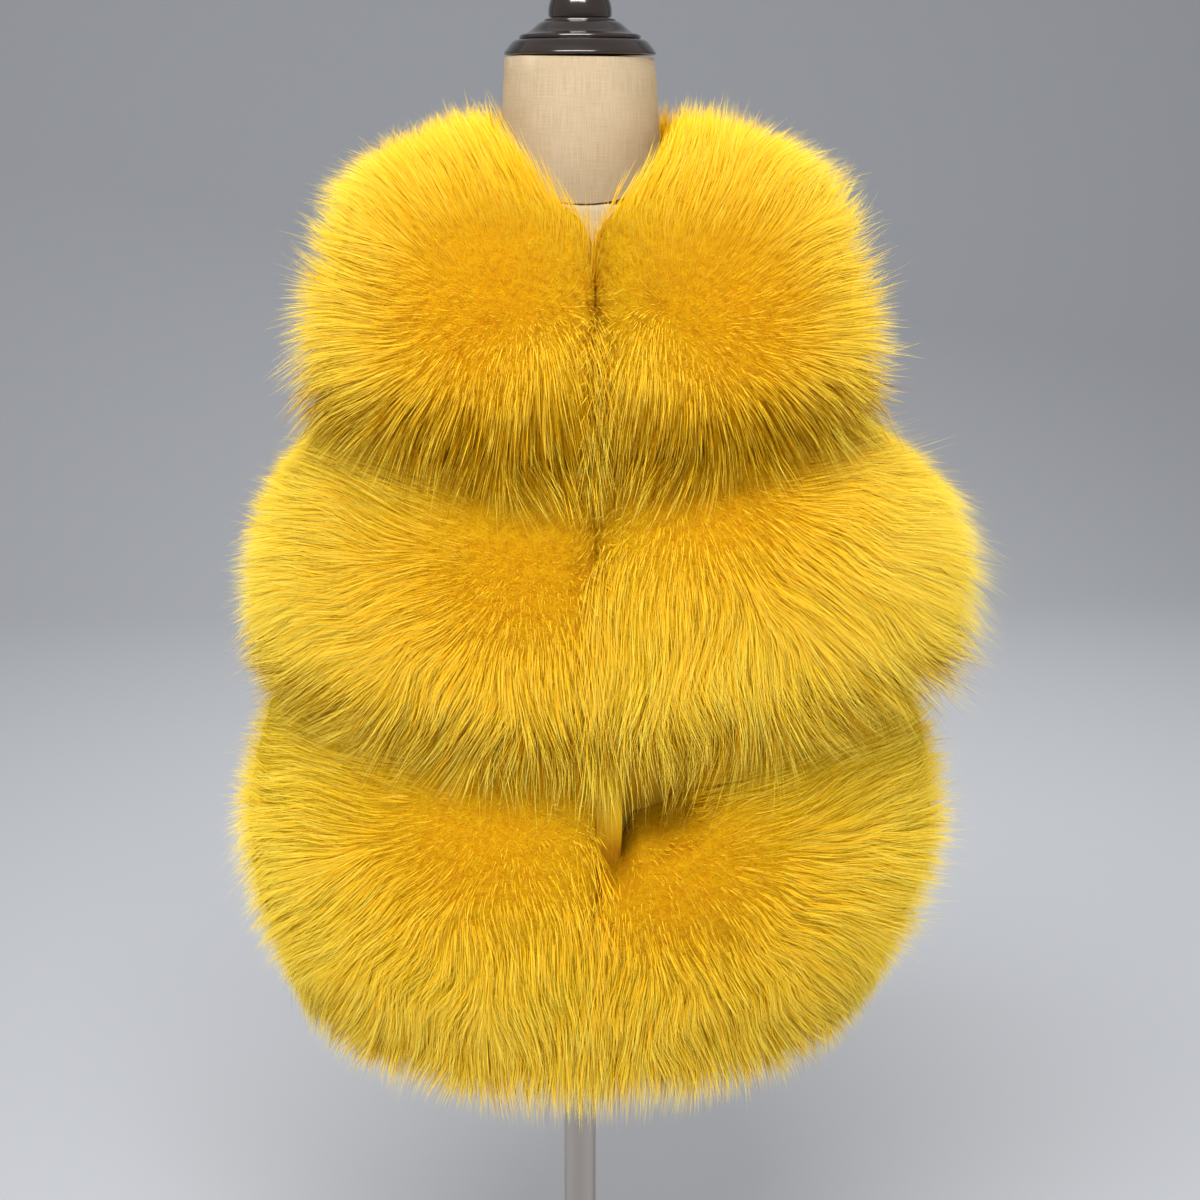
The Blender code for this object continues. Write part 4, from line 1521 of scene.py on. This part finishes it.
    def hairs(self, pelt: Pelt, count: int, guard: bool, rng: np.random.Generator) -> tuple:
        """Ribbons of one kind of hair on one side of a piece.

        Args:
            pelt: The side of the piece.
            count: Number of hairs.
            guard: True for guard hairs, False for the shorter underfur.
            rng: Source of the scatter.

        Returns:
            Vertices, faces and places on the fur map.
        """
        phase = self.seed * 1.37 + (0.0 if pelt.side is Side.LEFT else 2.1)
        u, w = self.sow(pelt, count, rng)
        count = len(u)
        root, knee, tip, out = self.bend(pelt, u, w, phase)
        kept, over = self.spill(pelt, u, w, rng)
        foot = pelt.root(u, w)[0]
        tip = mix(foot, tip, kept[:, None]) + over
        if pelt.tier is Tier.TOP:
            lapped = np.abs(rng.normal(0.0, 1.0, count)) * (1.0 - ease(w / 0.12))
            lapped = self.shoulder_lap * lapped
            tip[:, 1] += lapped if pelt.is_front else -lapped
        knee = mix(root, knee, kept[:, None])
        lock_u, lock_w, jitter, other = self.locks(pelt, u, w, phase)
        guide = self.bend(pelt, lock_u, lock_w, phase)
        length = self.lengths(count, guard, jitter, rng)
        if pelt.tier is Tier.BOTTOM:
            length = np.minimum(length, mix(1.20, 1.00, ease((w - 0.85) / 0.20)))
        steps = self.guard_steps if guard else self.under_steps
        width = (self.guard_width if guard else self.under_width) * mix(0.7, 1.3, rng.random(count))
        width = np.where(length > 1.10, 0.6 * width, width)
        stray = rng.normal(0.0, 0.0024 if guard else 0.0028, (count, 3))
        gather = self.comb.gather * mix(0.35, 1.0, other) * (1.0 if guard else 0.6)
        lines = []
        for step in steps:
            share = (step * length)[:, None]
            near = (1.0 - share) ** 2
            middle = 2.0 * share * (1.0 - share)
            own = near * root + middle * knee + share ** 2 * tip
            led = near * guide[0] + middle * guide[1] + share ** 2 * guide[2]
            pull = gather[:, None] * np.clip(share, 0.0, 1.0) ** 1.6
            lines.append(mix(own, led, pull) + stray * share ** 1.5)
        tone = self.tones(pelt, u, w, jitter, guard, rng)
        over_box = np.abs(lines[-1] - BOX_MIDDLE) - BOX_HALF
        inside = np.all(over_box < self.overhang, axis=1)
        lines = [line[inside] for line in lines]
        hair = [values[inside] for values in (width, out, length, tone)]
        return self.ribbons(lines, steps, *hair, guard, rng)

    def tones(self, pelt: Pelt, u: Values, w: Values, jitter: np.ndarray, guard: bool,
              rng: np.random.Generator) -> np.ndarray:
        """Tone of each hair, from 0 for deep gold to 1 for lemon. It is deeper in the swirl, paler
        towards the side as painted light, and near 0 as painted shade at a row's hanging edge.

        Args:
            pelt: The side of the piece.
            u: Shares across of the tips.
            w: Shares down of the tips.
            jitter: Random share of each lock.
            guard: True for guard hairs, False for underfur.
            rng: Source of the scatter.

        Returns:
            One tone a hair.
        """
        away = pelt.away(u, w)
        # Painted light: tone rises towards the side, where the hair is seen lengthwise and lit.
        side = 0.30 * ease((u - 0.45) / 0.45)
        tone = 0.10 + 0.46 * rng.beta(2.0, 2.6, len(u)) + 0.10 * jitter + side
        pale = guard & (rng.random(len(u)) < mix(0.05, self.pale, ease((away - 0.03) / 0.10)))
        tone = np.where(pale, mix(0.70, 1.0, rng.random(len(u))), tone if guard else 0.7 * tone)
        tone = 0.10 + (tone - 0.10) * mix(0.55, 1.0, ease(away / 0.085))
        # Painted shade: near a row's hanging edge many hairs get a tone under 0.05, which the hair
        # material darkens; the hem gets less.
        start, painted_shade_most = (1.02, 0.3) if pelt.tier is Tier.BOTTOM else (0.87, 1.0)
        in_painted_shade = rng.random(len(u)) < painted_shade_most * (0.84 if guard else 1.0) * ease((w - start) / 0.16)
        return np.where(in_painted_shade & ~pale, 0.05 * rng.random(len(u)), np.maximum(tone, 0.10))

    def lengths(self, count: int, guard: bool, jitter: np.ndarray,
                rng: np.random.Generator) -> np.ndarray:
        """Length of each hair as a share of its curve. A few guard hairs are wisps.

        Args:
            count: Number of hairs.
            guard: True for guard hairs, False for underfur.
            jitter: Random share of each lock.
            rng: Source of the scatter.

        Returns:
            One share a hair.
        """
        if not guard:
            return mix(0.78, 0.93, rng.random(count))
        length = mix(0.84, 1.10, rng.random(count)) + 0.05 * (jitter - 0.5)
        wisps = rng.random(count) < self.wisps
        return np.where(wisps, mix(1.11, 1.20, rng.random(count)), length)

    def ribbons(self, lines: list, steps: tuple, width: np.ndarray, out: np.ndarray,
                length: np.ndarray, tone: np.ndarray, guard: bool,
                rng: np.random.Generator) -> tuple:
        """Turns centre lines into tapered ribbons whose flat side is turned outward.

        Args:
            lines: Points of the hairs' centre lines, one array for each step.
            steps: Shares of the curve at those points.
            width: Width of each hair in metres.
            out: Outward direction at each tip.
            length: Length of each hair as a share of its curve.
            tone: Tone of each hair.
            guard: True for guard hairs, False for underfur.
            rng: Source of the scatter.

        Returns:
            Vertices, faces and places on the fur map.
        """
        count = len(width)
        tangent = unit(lines[-1] - lines[0])
        facing = out + rng.normal(0.0, 0.34, (count, 3))
        flat = unit(np.cross(tangent, facing))
        taper = (1.0, 0.80) if guard else (1.0,)
        points = []
        for line, share in zip(lines, taper):
            half = flat * (0.5 * width * share)[:, None]
            points += [line - half, line + half]
        points.append(lines[-1])
        grid = np.stack(points, axis=1)
        size = grid.shape[1]
        base = (np.arange(count) * size)[:, None]
        quads = [base + np.array([2 * i, 2 * i + 1, 2 * i + 3, 2 * i + 2])
                 for i in range(len(taper) - 1)]
        last = 2 * (len(taper) - 1)
        triangle = base + np.array([last, last + 1, last + 2])
        along = [step for step, _ in zip(steps, taper)]
        places = np.zeros((count, size, 2))
        for index, step in enumerate(along):
            places[:, 2 * index] = np.stack([tone, step * length.clip(0, 1)], axis=-1)
            places[:, 2 * index + 1] = places[:, 2 * index] + np.array([0.006, 0.0])
        places[:, -1] = np.stack([tone + 0.003, np.full(count, 0.999)], axis=-1)
        if not guard:
            places[:, -1, 1] = 0.86
        faces = [np.concatenate(quads) if quads else np.zeros((0, 4), int), triangle]
        return grid.reshape(-1, 3), faces, places.reshape(-1, 2).clip(0.0, 1.0)

    def build(self, name: str) -> bpy.types.Object:
        """Makes the pile's one mesh.

        Args:
            name: Name of the piece.

        Returns:
            The pile.
        """
        rng = np.random.default_rng(self.seed)
        points, places, quads, triangles, start = [], [], [], [], 0
        for pelt in self.pelts:
            for count, guard in ((self.guards, True), (self.underfur, False)):
                share = count // len(self.pelts)
                block, faces, where = self.hairs(pelt, share, guard, rng)
                points.append(block)
                places.append(where)
                quads.append(faces[0] + start)
                triangles.append(faces[1] + start)
                start += len(block)
        faces = [np.concatenate(quads), np.concatenate(triangles)]
        return mesh_piece(name, np.concatenate(points), faces, {FUR_MAP: np.concatenate(places)})


# Garment


@dataclass
class FurPiece:
    """One piece of fur: the pelt's skin, its undercoat, and its pile."""

    name: str
    pelts: Sequence[Pelt]
    guards: int
    underfur: int
    seed: int
    skin: float = 0.0012
    undercoat: float = 0.80  # share of the reach that it fills
    off_cloth: float = 0.0004
    ruffle: float = 0.0016  # height of the undercoat's small waves
    skin_grid: tuple = (20, 18)
    coat_grid: tuple = (46, 40)
    centre_gap: float = 0.0006  # share across that the fronts keep free at the centre
    measured_at: float = 0.8  # share down at which the flat pelt's width is taken

    def grids(self, pelt: Pelt, share: float) -> tuple:
        """Inner and outer grid of a layer on one side, from the backing to a share of the reach.

        Args:
            pelt: The side of the piece.
            share: Share of the reach that the layer fills, 0 for the skin.

        Returns:
            Inner grid, outer grid, and places on the flat cloth.
        """
        columns, rows = self.skin_grid if share == 0.0 else self.coat_grid
        u, w = np.meshgrid(np.linspace(0.0, 0.999, columns), np.linspace(0.0026, 0.997, rows))
        u = np.where(pelt.is_front, np.maximum(u, self.centre_gap), u)
        hem = pelt.tier is Tier.BOTTOM
        end = 1.0 if share == 0.0 else 1.0 + (0.70 if hem else 0.40) * pelt.hang(u)
        start = 0.94 * pelt.bare(u)
        w = start + w * (end - start)
        flat = np.stack([u * pelt.width(w), w * pelt.height], axis=-1)
        point, out = pelt.root(u, w)
        inner = point + out * self.off_cloth
        if share == 0.0:
            outer = point + out * (self.off_cloth + self.skin)
        else:
            full = mix(share + 0.10, share, ease(pelt.away(u, w) / 0.075))
            lost, over = (0.82, 0.40) if hem else (0.45, 0.16)
            trim = 1.0 - lost * (1.0 - ease((end - w) / over))
            if pelt.tier is not Tier.TOP:
                start_lift = (w - pelt.bare(u)) / 0.10 + 0.5 * (pelt.bare_depth == 0.0)
                trim = trim * mix(0.04, 1.0, ease(start_lift))
            if pelt.is_front:
                trim = trim * mix(0.90, 1.0, ease(u / 0.06))
            trim = trim * (1.0 - 0.80 * np.abs(pelt.edge(u, w)) ** 1.5)
            rough = self.ruffle * wander(flat[..., 0], flat[..., 1], 0.0045, 0.7)
            lift = pelt.reach(u, w) * full * trim + rough * trim
            outer = point + out * np.maximum(lift, 0.0008)[..., None]
        return inner, outer, flat

    def mark_away(self, coat: bpy.types.Object, pelt: Pelt) -> None:
        """Stores how far each point of an undercoat lies from the swirl, for its colour.

        Args:
            coat: The undercoat.
            pelt: The side of the piece.
        """
        layer = coat.data.uv_layers[CLOTH_MAP]
        places = np.zeros(len(layer.data) * 2)
        layer.data.foreach_get("uv", places)
        places = places.reshape(-1, 2)
        down = places[:, 1] - pelt.swirl.down * pelt.height
        width = pelt.width(places[:, 1] / pelt.height)
        away = np.hypot(places[:, 0] - pelt.swirl.across * width, down)
        made = coat.data.attributes.new(AWAY, "FLOAT", "CORNER")
        made.data.foreach_set("value", ease(away / 0.095).astype(np.float32))

    def layer(self, name: str, share: float) -> bpy.types.Object:
        """One layer as a closed shell over all the sides of the piece.

        Args:
            name: Name of the piece.
            share: Share of the reach that the layer fills, 0 for the skin.

        Returns:
            The layer.
        """
        parts = []
        for index, pelt in enumerate(self.pelts):
            inner, outer, flat = self.grids(pelt, share)
            parts.append(shell(f"{name}_{index}", inner, outer, flat))
            if share:
                self.mark_away(parts[-1], pelt)
        return join(parts, name)

    def build(self, hair: bpy.types.Material, wool: bpy.types.Material) -> None:
        """Args:
            hair: Material of the pile.
            wool: Material of the undercoat and the skin.
        """
        node = f"fur_{self.name}"
        skin = self.layer(f"pelt_{self.name}", 0.0)
        coat = self.layer(f"undercoat_{self.name}", self.undercoat)
        pile = Pile(self.pelts, self.guards, self.underfur, self.seed)
        hairs = pile.build(f"pile_{self.name}")
        place(skin, wool, "fur", node)
        place(coat, wool, "fur")
        place(hairs, hair, "fur")
        width = sum(float(pelt.width(np.float64(self.measured_at))) for pelt in self.pelts)


@dataclass
class ClothPanel:
    """Ground cloth of one front or of the back: rings up to the yoke line, then the yoke."""

    name: str
    sides: Sequence[Side]
    is_front: bool
    wall: float = 0.0015
    columns: int = 18
    side_columns: int = 7
    ring_rows: int = 34
    yoke_rows: int = 20
    cut: tuple = (0.272, 0.520)  # width and length of half a panel before the edges are cut

    def point_rows(self, side: Side) -> list:
        """Rows of points with their outward directions, from the hem to the shoulder seam.

        Args:
            side: The wearer's side.

        Returns:
            A pair of points and directions for each row.
        """
        rows = []
        to_armhole = np.linspace(0.15 if self.is_front else 0.0, FIGURE.armhole_angle, self.columns)
        under_arm = np.linspace(FIGURE.armhole_angle, 89.9, self.side_columns + 1)[1:]
        angles = np.concatenate([to_armhole, under_arm])
        angles = angles if self.is_front else 180.0 - angles
        for share in np.linspace(0.0, 1.0, self.ring_rows):
            height = mix(FIGURE.hem_line(angles), FIGURE.yoke_line(angles), share)
            point = FIGURE.ring(side, self.is_front, angles, height)
            rows.append((point, FIGURE.outward(side, self.is_front, angles, height)))
        pelt = YokePelt(Tier.TOP, side, self.is_front, Swirl(0.4, 0.5))
        across = np.linspace(0.002 if self.is_front else 0.0, 1.0, self.columns)
        for rise in np.linspace(0.03, pelt.top_rise, self.yoke_rows):
            point = pelt.root(across, 1.0 - rise + 0.0 * across)[0]
            angle = pelt.angle(across, 1.0 - rise)
            level = FIGURE.outward(side, self.is_front, angle, FIGURE.yoke_height)
            tilt = math.radians(90.0 * rise)
            up = np.array([0.0, 0.0, math.sin(tilt)])
            rows.append((point, unit(level * math.cos(tilt) + up)))
        return rows

    def half(self, side: Side) -> bpy.types.Object:
        """Closed wall on one side.

        Args:
            side: The wearer's side.

        Returns:
            The wall.
        """
        rows = self.point_rows(side)
        outer = np.concatenate([point for point, _ in rows])
        inner = outer - np.concatenate([out for _, out in rows]) * self.wall
        starts = np.cumsum([0] + [len(point) for point, _ in rows])
        quads = []
        for index, low in enumerate(starts[:-2]):
            width = min(len(rows[index][0]), len(rows[index + 1][0])) - 1
            step = np.arange(width)[:, None]
            high = starts[index + 1]
            corners = [low + step, low + step + 1, high + step + 1, high + step]
            quads.append(np.concatenate(corners, axis=1))
        face = np.concatenate(quads)
        edges = {}
        for quad in face:
            for first, second in zip(quad, np.roll(quad, -1)):
                key = (min(first, second), max(first, second))
                edges[key] = None if key in edges else (first, second)
        rim = np.array([edge for edge in edges.values() if edge])
        wall = np.concatenate([rim[:, ::-1], rim + len(outer)], axis=1)
        points = np.concatenate([outer, inner])
        flat = np.stack([np.hypot(points[:, 0], points[:, 1]), points[:, 2]], axis=1)
        faces = [face, face[:, ::-1] + len(outer), wall]
        made = mesh_piece(f"{self.name}_{side.name.lower()}", points, faces, {CLOTH_MAP: flat})
        close_normals(made)
        return made

    def build(self, finish: bpy.types.Material) -> None:
        """Makes the panel.

        Args:
            finish: Its material.
        """
        made = join([self.half(side) for side in self.sides], f"ground_{self.name}")
        place(made, finish, "ground_cloth", f"cloth_{self.name}")


@dataclass
class Facing:
    """Smooth strip on the wearer's left front edge, from the V down to the hem."""

    start: float = 0.0006
    width: float = 0.0134
    lift: float = 0.0003
    wall: float = 0.0010
    bow: float = 0.018  # how far it bows forward where no pile lies on it
    bow_height: float = 0.444
    bow_spread: float = 0.030
    top_rise: float = 0.385  # of the yoke, where the V starts
    map_length: float = 0.44
    columns: int = 7
    ring_rows: int = 56
    yoke_rows: int = 12

    def build(self, finish: bpy.types.Material) -> None:
        """Makes the strip as a closed shell.

        Args:
            finish: Its material.
        """
        across = np.linspace(self.start, self.start + self.width, self.columns)
        angle = FIGURE.angle_at(Side.LEFT, True, across)
        heights = np.linspace(FIGURE.hem_height + 0.0008, FIGURE.yoke_height, self.ring_rows)
        rows = [FIGURE.ring(Side.LEFT, True, angle, height) for height in heights]
        rises = np.linspace(0.03, self.top_rise, self.yoke_rows)
        rows += [FIGURE.arch(Side.LEFT, True, angle, rise) for rise in rises]
        base = np.stack(rows)
        out = np.array([0.0, -1.0, 0.0])
        from_middle = (base[..., 2] - self.bow_height) / self.bow_spread
        base = base + out * self.bow * np.exp(-(from_middle ** 2))[..., None]
        crown = 0.25 + 0.75 * np.sin(np.linspace(0.0, math.pi, len(across)))[None, :, None]
        outer = base + out * (self.lift + self.wall * crown)
        along = np.linspace(0.0, self.map_length, len(rows))
        flat = np.stack(np.broadcast_arrays(across[None, :], along[:, None]), axis=-1)
        made = shell("facing_front_left", base + out * self.lift, outer, flat)
        place(made, finish, "facing_cloth", "front_facing_left")


# Dress form and stand


@dataclass
class DressForm:
    """Linen torso and neck with a turned and lacquered cap."""

    knob: float = 0.0183
    rim: float = 0.0440
    turns: int = 96

    def smooth_copy(self, node: str, name: str, levels: int) -> bpy.types.Object:
        """Copy of a CAD node, made of quads again and subdivided.

        Args:
            node: Name of the CAD node.
            name: Name of the piece.
            levels: Levels of subdivision.

        Returns:
            The copy.
        """
        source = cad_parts[node]
        made = linked(name, source.data.copy())
        made.data.materials.clear()
        select_only(made)
        bpy.ops.object.mode_set(mode="EDIT")
        bpy.ops.mesh.select_all(action="SELECT")
        bpy.ops.mesh.remove_doubles(threshold=0.00002)
        bpy.ops.mesh.tris_convert_to_quads()
        bpy.ops.mesh.select_all(action="DESELECT")
        bpy.ops.mesh.edges_select_sharp(sharpness=math.radians(50.0))
        bpy.ops.transform.edge_crease(value=0.92)
        bpy.ops.object.mode_set(mode="OBJECT")
        if made.data.has_custom_normals:
            bpy.ops.mesh.customdata_custom_splitnormals_clear()
        finer = made.modifiers.new("finer", "SUBSURF")
        finer.levels = finer.render_levels = levels
        apply_all(made)
        bpy.ops.object.shade_smooth_by_angle(angle=math.radians(50.0))
        return made

    def cap_profile(self) -> list:
        """Rolled rim, ogee, bead and domed knob, from the top down.

        Returns:
            Radius and height of each point.
        """
        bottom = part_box("neck_cap")[0].z
        dome = bottom + 0.0225
        profile = [(0.0, dome + 0.0015 + self.knob)]
        profile += arc((0.0, dome + 0.0015), self.knob, 86.0, -8.0, 20)
        profile += [(0.0168, dome - 0.0014), (0.0168, dome - 0.0020), (0.0196, dome - 0.0020)]
        profile += arc((0.0196, dome - 0.0032), 0.0012, 90.0, 0.0, 4)
        profile += [(0.0222, dome - 0.0036), (0.0246, dome - 0.0050), (0.0272, dome - 0.0074),
                    (0.0300, dome - 0.0094), (0.0330, dome - 0.0106)]
        profile += arc((0.0336, dome - 0.0122), 0.0016, 90.0, -60.0, 6)
        profile += arc((0.0352, bottom + 0.0032), 0.0060, 92.0, 38.0, 6)
        profile += arc((self.rim - 0.0011, bottom + 0.0014), 0.0011, 40.0, -90.0, 6)
        return profile + [(0.0, bottom)]

    def build(self, linen: bpy.types.Material, lacquer: bpy.types.Material) -> None:
        """Makes the three pieces.

        Args:
            linen: Material of the torso and the neck.
            lacquer: Material of the cap.
        """
        for node, levels in (("form_torso", 2), ("form_neck", 2)):
            made = self.smooth_copy(node, f"linen_{node[5:]}", levels)
            place(made, linen, "linen", node)
        cap = spun("turned_cap", self.cap_profile(), self.turns, SMOOTH_UNDER)
        place(cap, lacquer, "lacquered_wood", "neck_cap")


@dataclass
class Stand:
    """Flange, chrome pole and round base."""

    turns: int = 96
    pole: float = 0.0105
    base: float = 0.120
    edge: float = 0.003

    def base_profile(self) -> list:
        """Base with a rounded edge, a raised boss with a fillet, and a hidden socket.

        Returns:
            Radius and height of each point.
        """
        low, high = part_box("stand_base")
        top = 0.012
        profile = [(0.0, high.z - 0.012), (self.pole + 0.0003, high.z - 0.012)]
        profile += [(self.pole + 0.0003, high.z - 0.0006), (self.pole + 0.0009, high.z)]
        profile += arc((0.0200, high.z - 0.0020), 0.0020, 90.0, 0.0, 5)
        profile += arc((0.0250, top + 0.0030), 0.0030, 180.0, 270.0, 5)
        profile += [(0.060, top), (0.100, top)]
        profile += arc((self.base - self.edge, top - self.edge), self.edge, 90.0, 0.0, 6)
        return profile + [(self.base, low.z + 0.001), (self.base - 0.001, low.z), (0.0, low.z)]

    def pole_profile(self) -> list:
        """Straight pole with bevelled ends.

        Returns:
            Radius and height of each point.
        """
        low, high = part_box("stand_pole")
        bevel = 0.0006
        middle = [mix(high.z, low.z, share) for share in (0.25, 0.5, 0.75)]
        return [(0.0, high.z), (self.pole - bevel, high.z), (self.pole, high.z - bevel),
                *[(self.pole, height) for height in middle],
                (self.pole, low.z + bevel), (self.pole - bevel, low.z), (0.0, low.z)]

    def flange_profile(self) -> list:
        """Disc under the torso with a rounded edge, and a sleeve that takes the pole.

        Returns:
            Radius and height of each point.
        """
        low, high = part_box("pole_flange")
        under = high.z - 0.004
        inside = self.pole + 0.0003
        profile = [(0.0, high.z), (0.0310, high.z)]
        profile += arc((0.0310, high.z - 0.0010), 0.0010, 90.0, 0.0, 3)
        profile += arc((0.0310, under + 0.0010), 0.0010, 0.0, -90.0, 3)
        profile += arc((0.0180, under - 0.0030), 0.0030, 90.0, 180.0, 4)
        return profile + [(0.0150, low.z + 0.0005), (0.0145, low.z), (inside, low.z),
                          (inside, under), (0.0, under)]

    def build(self, chrome: bpy.types.Material, steel: bpy.types.Material,
              dark: bpy.types.Material) -> None:
        """Makes the three pieces.

        Args:
            chrome: Material of the pole.
            steel: Material of the base.
            dark: Material of the flange.
        """
        plans = (
            ("turned_base", self.base_profile(), steel, "brushed_steel", "stand_base"),
            ("chrome_pole", self.pole_profile(), chrome, "polished_steel", "stand_pole"),
            ("turned_flange", self.flange_profile(), dark, "dark_steel", "pole_flange"),
        )
        for name, profile, finish, slot, node in plans:
            place(spun(name, profile, self.turns, SMOOTH_UNDER), finish, slot, node)


# Studio


@dataclass(frozen=True)
class Lamp:
    """Rectangular soft light."""

    name: str
    place: tuple
    aim: tuple
    size: tuple
    power: float
    shines: bool = False  # True if gloss shows it

    def build(self) -> None:
        """Makes the light, pointed at its aim."""
        data = bpy.data.lights.new(self.name, "AREA")
        data.shape = "RECTANGLE"
        data.size, data.size_y = self.size
        data.energy = self.power
        made = linked(self.name, data)
        made.visible_glossy = self.shines
        made.location = self.place
        way = Vector(self.aim) - Vector(self.place)
        made.rotation_euler = way.to_track_quat("-Z", "Y").to_euler()


@dataclass(frozen=True)
class Studio:
    """Pale floor, soft lights and the camera at the photograph's viewing angle."""

    distance: float = 1.15
    eye_height: float = 0.835
    pitch: float = -14.5
    turn: float = -3.5
    focal: float = 1919.0  # in pixels of a 1200 pixel picture
    picture: float = 1200.0
    axis_column: float = 580.0  # where the form's axis lies in that picture
    sweep_radius: float = 1.2
    sweep_steps: int = 16
    wall_height: float = 3.0
    floor_size: float = 12.0
    floor_middle: tuple = (0.0, -4.0, 0.0)
    floor_colour: tuple = (0.40, 0.41, 0.43, 1.0)
    room_colour: tuple = (0.80, 0.82, 0.86, 1.0)
    room_strength: float = 0.38
    lamps: tuple = (
        Lamp("key", (-0.35, -1.45, 2.6), (0.0, 0.0, 0.55), (2.1, 0.9), 88.0, True),
        Lamp("fill_right", (1.6, -1.3, 0.95), (0.0, 0.0, 0.5), (1.6, 1.6), 16.0),
        Lamp("fill_left", (-1.6, -1.3, 0.95), (0.0, 0.0, 0.5), (1.6, 1.6), 14.0),
        Lamp("rim", (0.4, 1.6, 2.0), (0.0, 0.0, 0.6), (1.2, 1.2), 34.0),
    )

    def camera(self) -> None:
        """Makes the camera."""
        data = bpy.data.cameras.new("camera")
        data.sensor_width = 36.0
        data.lens = self.focal / self.picture * data.sensor_width
        data.shift_x = (self.picture / 2.0 - self.axis_column) / self.picture
        eye = linked("camera", data)
        turn = math.radians(self.turn)
        x, y = self.distance * math.sin(turn), -self.distance * math.cos(turn)
        eye.location = (x, y, self.eye_height)
        eye.rotation_euler = (math.radians(90.0 + self.pitch), 0.0, turn)
        bpy.context.scene.camera = eye

    def sweep_up(self, floor: bpy.types.Object) -> None:
        """Curves the floor's far edge up into a plain backdrop.

        Args:
            floor: The floor, as a flat plane.
        """
        select_only(floor)
        bpy.ops.object.mode_set(mode="EDIT")
        bpy.ops.mesh.select_all(action="DESELECT")
        bpy.ops.object.mode_set(mode="OBJECT")
        far = max((floor.matrix_world @ vertex.co).y for vertex in floor.data.vertices)
        for edge in floor.data.edges:
            ends = [(floor.matrix_world @ floor.data.vertices[i].co).y for i in edge.vertices]
            edge.select = min(ends) > far - 0.01
        bpy.ops.object.mode_set(mode="EDIT")
        length = self.sweep_radius * math.radians(90.0 / self.sweep_steps)
        for step in range(self.sweep_steps):
            turn = math.radians(90.0 * (step + 0.5) / self.sweep_steps)
            move = (0.0, length * math.cos(turn), length * math.sin(turn))
            bpy.ops.mesh.extrude_region_move(TRANSFORM_OT_translate={"value": move})
        move = (0.0, 0.0, self.wall_height)
        bpy.ops.mesh.extrude_region_move(TRANSFORM_OT_translate={"value": move})
        bpy.ops.object.mode_set(mode="OBJECT")
        bpy.ops.object.transform_apply(location=True)
        bpy.ops.object.shade_smooth()

    def build(self) -> None:
        """Makes the floor, the world, the lights and the camera."""
        bpy.ops.object.select_all(action="DESELECT")
        bpy.ops.mesh.primitive_plane_add(size=self.floor_size, location=self.floor_middle)
        floor = bpy.context.object
        floor.name = "floor"
        self.sweep_up(floor)
        made, graph, shader = new_material("pale_floor")
        graph.feed(shader, {"Base Color": self.floor_colour, "Roughness": 0.8})
        floor.data.materials.append(made)
        world = bpy.data.worlds.new("soft_room")
        world.use_nodes = True
        back = world.node_tree.nodes["Background"]
        back.inputs[0].default_value = self.room_colour
        back.inputs[1].default_value = self.room_strength
        bpy.context.scene.world = world
        for lamp in self.lamps:
            lamp.build()
        self.camera()
        bpy.context.scene.view_settings.view_transform = "Standard"


SWIRLS = {
    (Tier.TOP, Side.LEFT): Swirl(0.42, 0.80),
    (Tier.TOP, Side.RIGHT): Swirl(0.36, 0.77),
    (Tier.MIDDLE, Side.LEFT): Swirl(0.26, 0.22),
    (Tier.MIDDLE, Side.RIGHT): Swirl(0.16, 0.46),
    (Tier.BOTTOM, Side.LEFT): Swirl(0.155, 0.52),
    (Tier.BOTTOM, Side.RIGHT): Swirl(0.21, 0.38),
}
BACK_SWIRL = Swirl(0.34, 0.45)
WINDOW_DEPTH = 0.32  # share of the left bottom front that is bare beside the facing
FRONT_HAIRS = (22500, 5500)  # guard hairs and underfur
BACK_HAIRS = (30000, 7000)


def fur_pieces() -> list:
    """Plans the nine pieces of fur.

    Returns:
        The pieces, from the hem up.
    """
    pieces = []
    lower = {}
    for seed, tier in enumerate((Tier.BOTTOM, Tier.MIDDLE, Tier.TOP)):
        kind = YokePelt if tier is Tier.TOP else Pelt
        made = {}
        for side in Side:
            front = kind(tier, side, True, SWIRLS[tier, side], lower.get((side, True)))
            if tier is Tier.BOTTOM and side is Side.LEFT:
                front.bare_depth = WINDOW_DEPTH
            made[side, True] = front
            made[side, False] = kind(tier, side, False, BACK_SWIRL, lower.get((side, False)))
        lower = made
        for side, first_seed in ((Side.LEFT, 10), (Side.RIGHT, 20)):
            name = f"{tier.value}_front_{side.name.lower()}"
            pieces.append(FurPiece(name, [made[side, True]], *FRONT_HAIRS, first_seed + seed))
        rear = [made[Side.RIGHT, False], made[Side.LEFT, False]]
        pieces.append(FurPiece(f"{tier.value}_back", rear, *BACK_HAIRS, 30 + seed))
    return pieces


def main() -> None:
    """Builds every piece in order."""
    logging.basicConfig(level=logging.INFO, format="%(message)s")
    bpy.ops.object.select_all(action="DESELECT")
    hair = HairFinish().build()
    wool = UndercoatFinish().build()
    ground = GROUND_CLOTH.build()
    nap = FACING_NAP.build()
    ClothPanel("front_left", (Side.LEFT,), True).build(ground)
    ClothPanel("front_right", (Side.RIGHT,), True).build(ground)
    ClothPanel("back", (Side.RIGHT, Side.LEFT), False).build(ground)
    Facing().build(nap)
    for piece in fur_pieces():
        piece.build(hair, wool)
    DressForm().build(LinenFinish().build(), LacquerFinish().build())
    Stand().build(CHROME.build(), SATIN_STEEL.build(), DARK_STEEL.build())
    Studio().build()


if __name__ == "__main__":
    main()
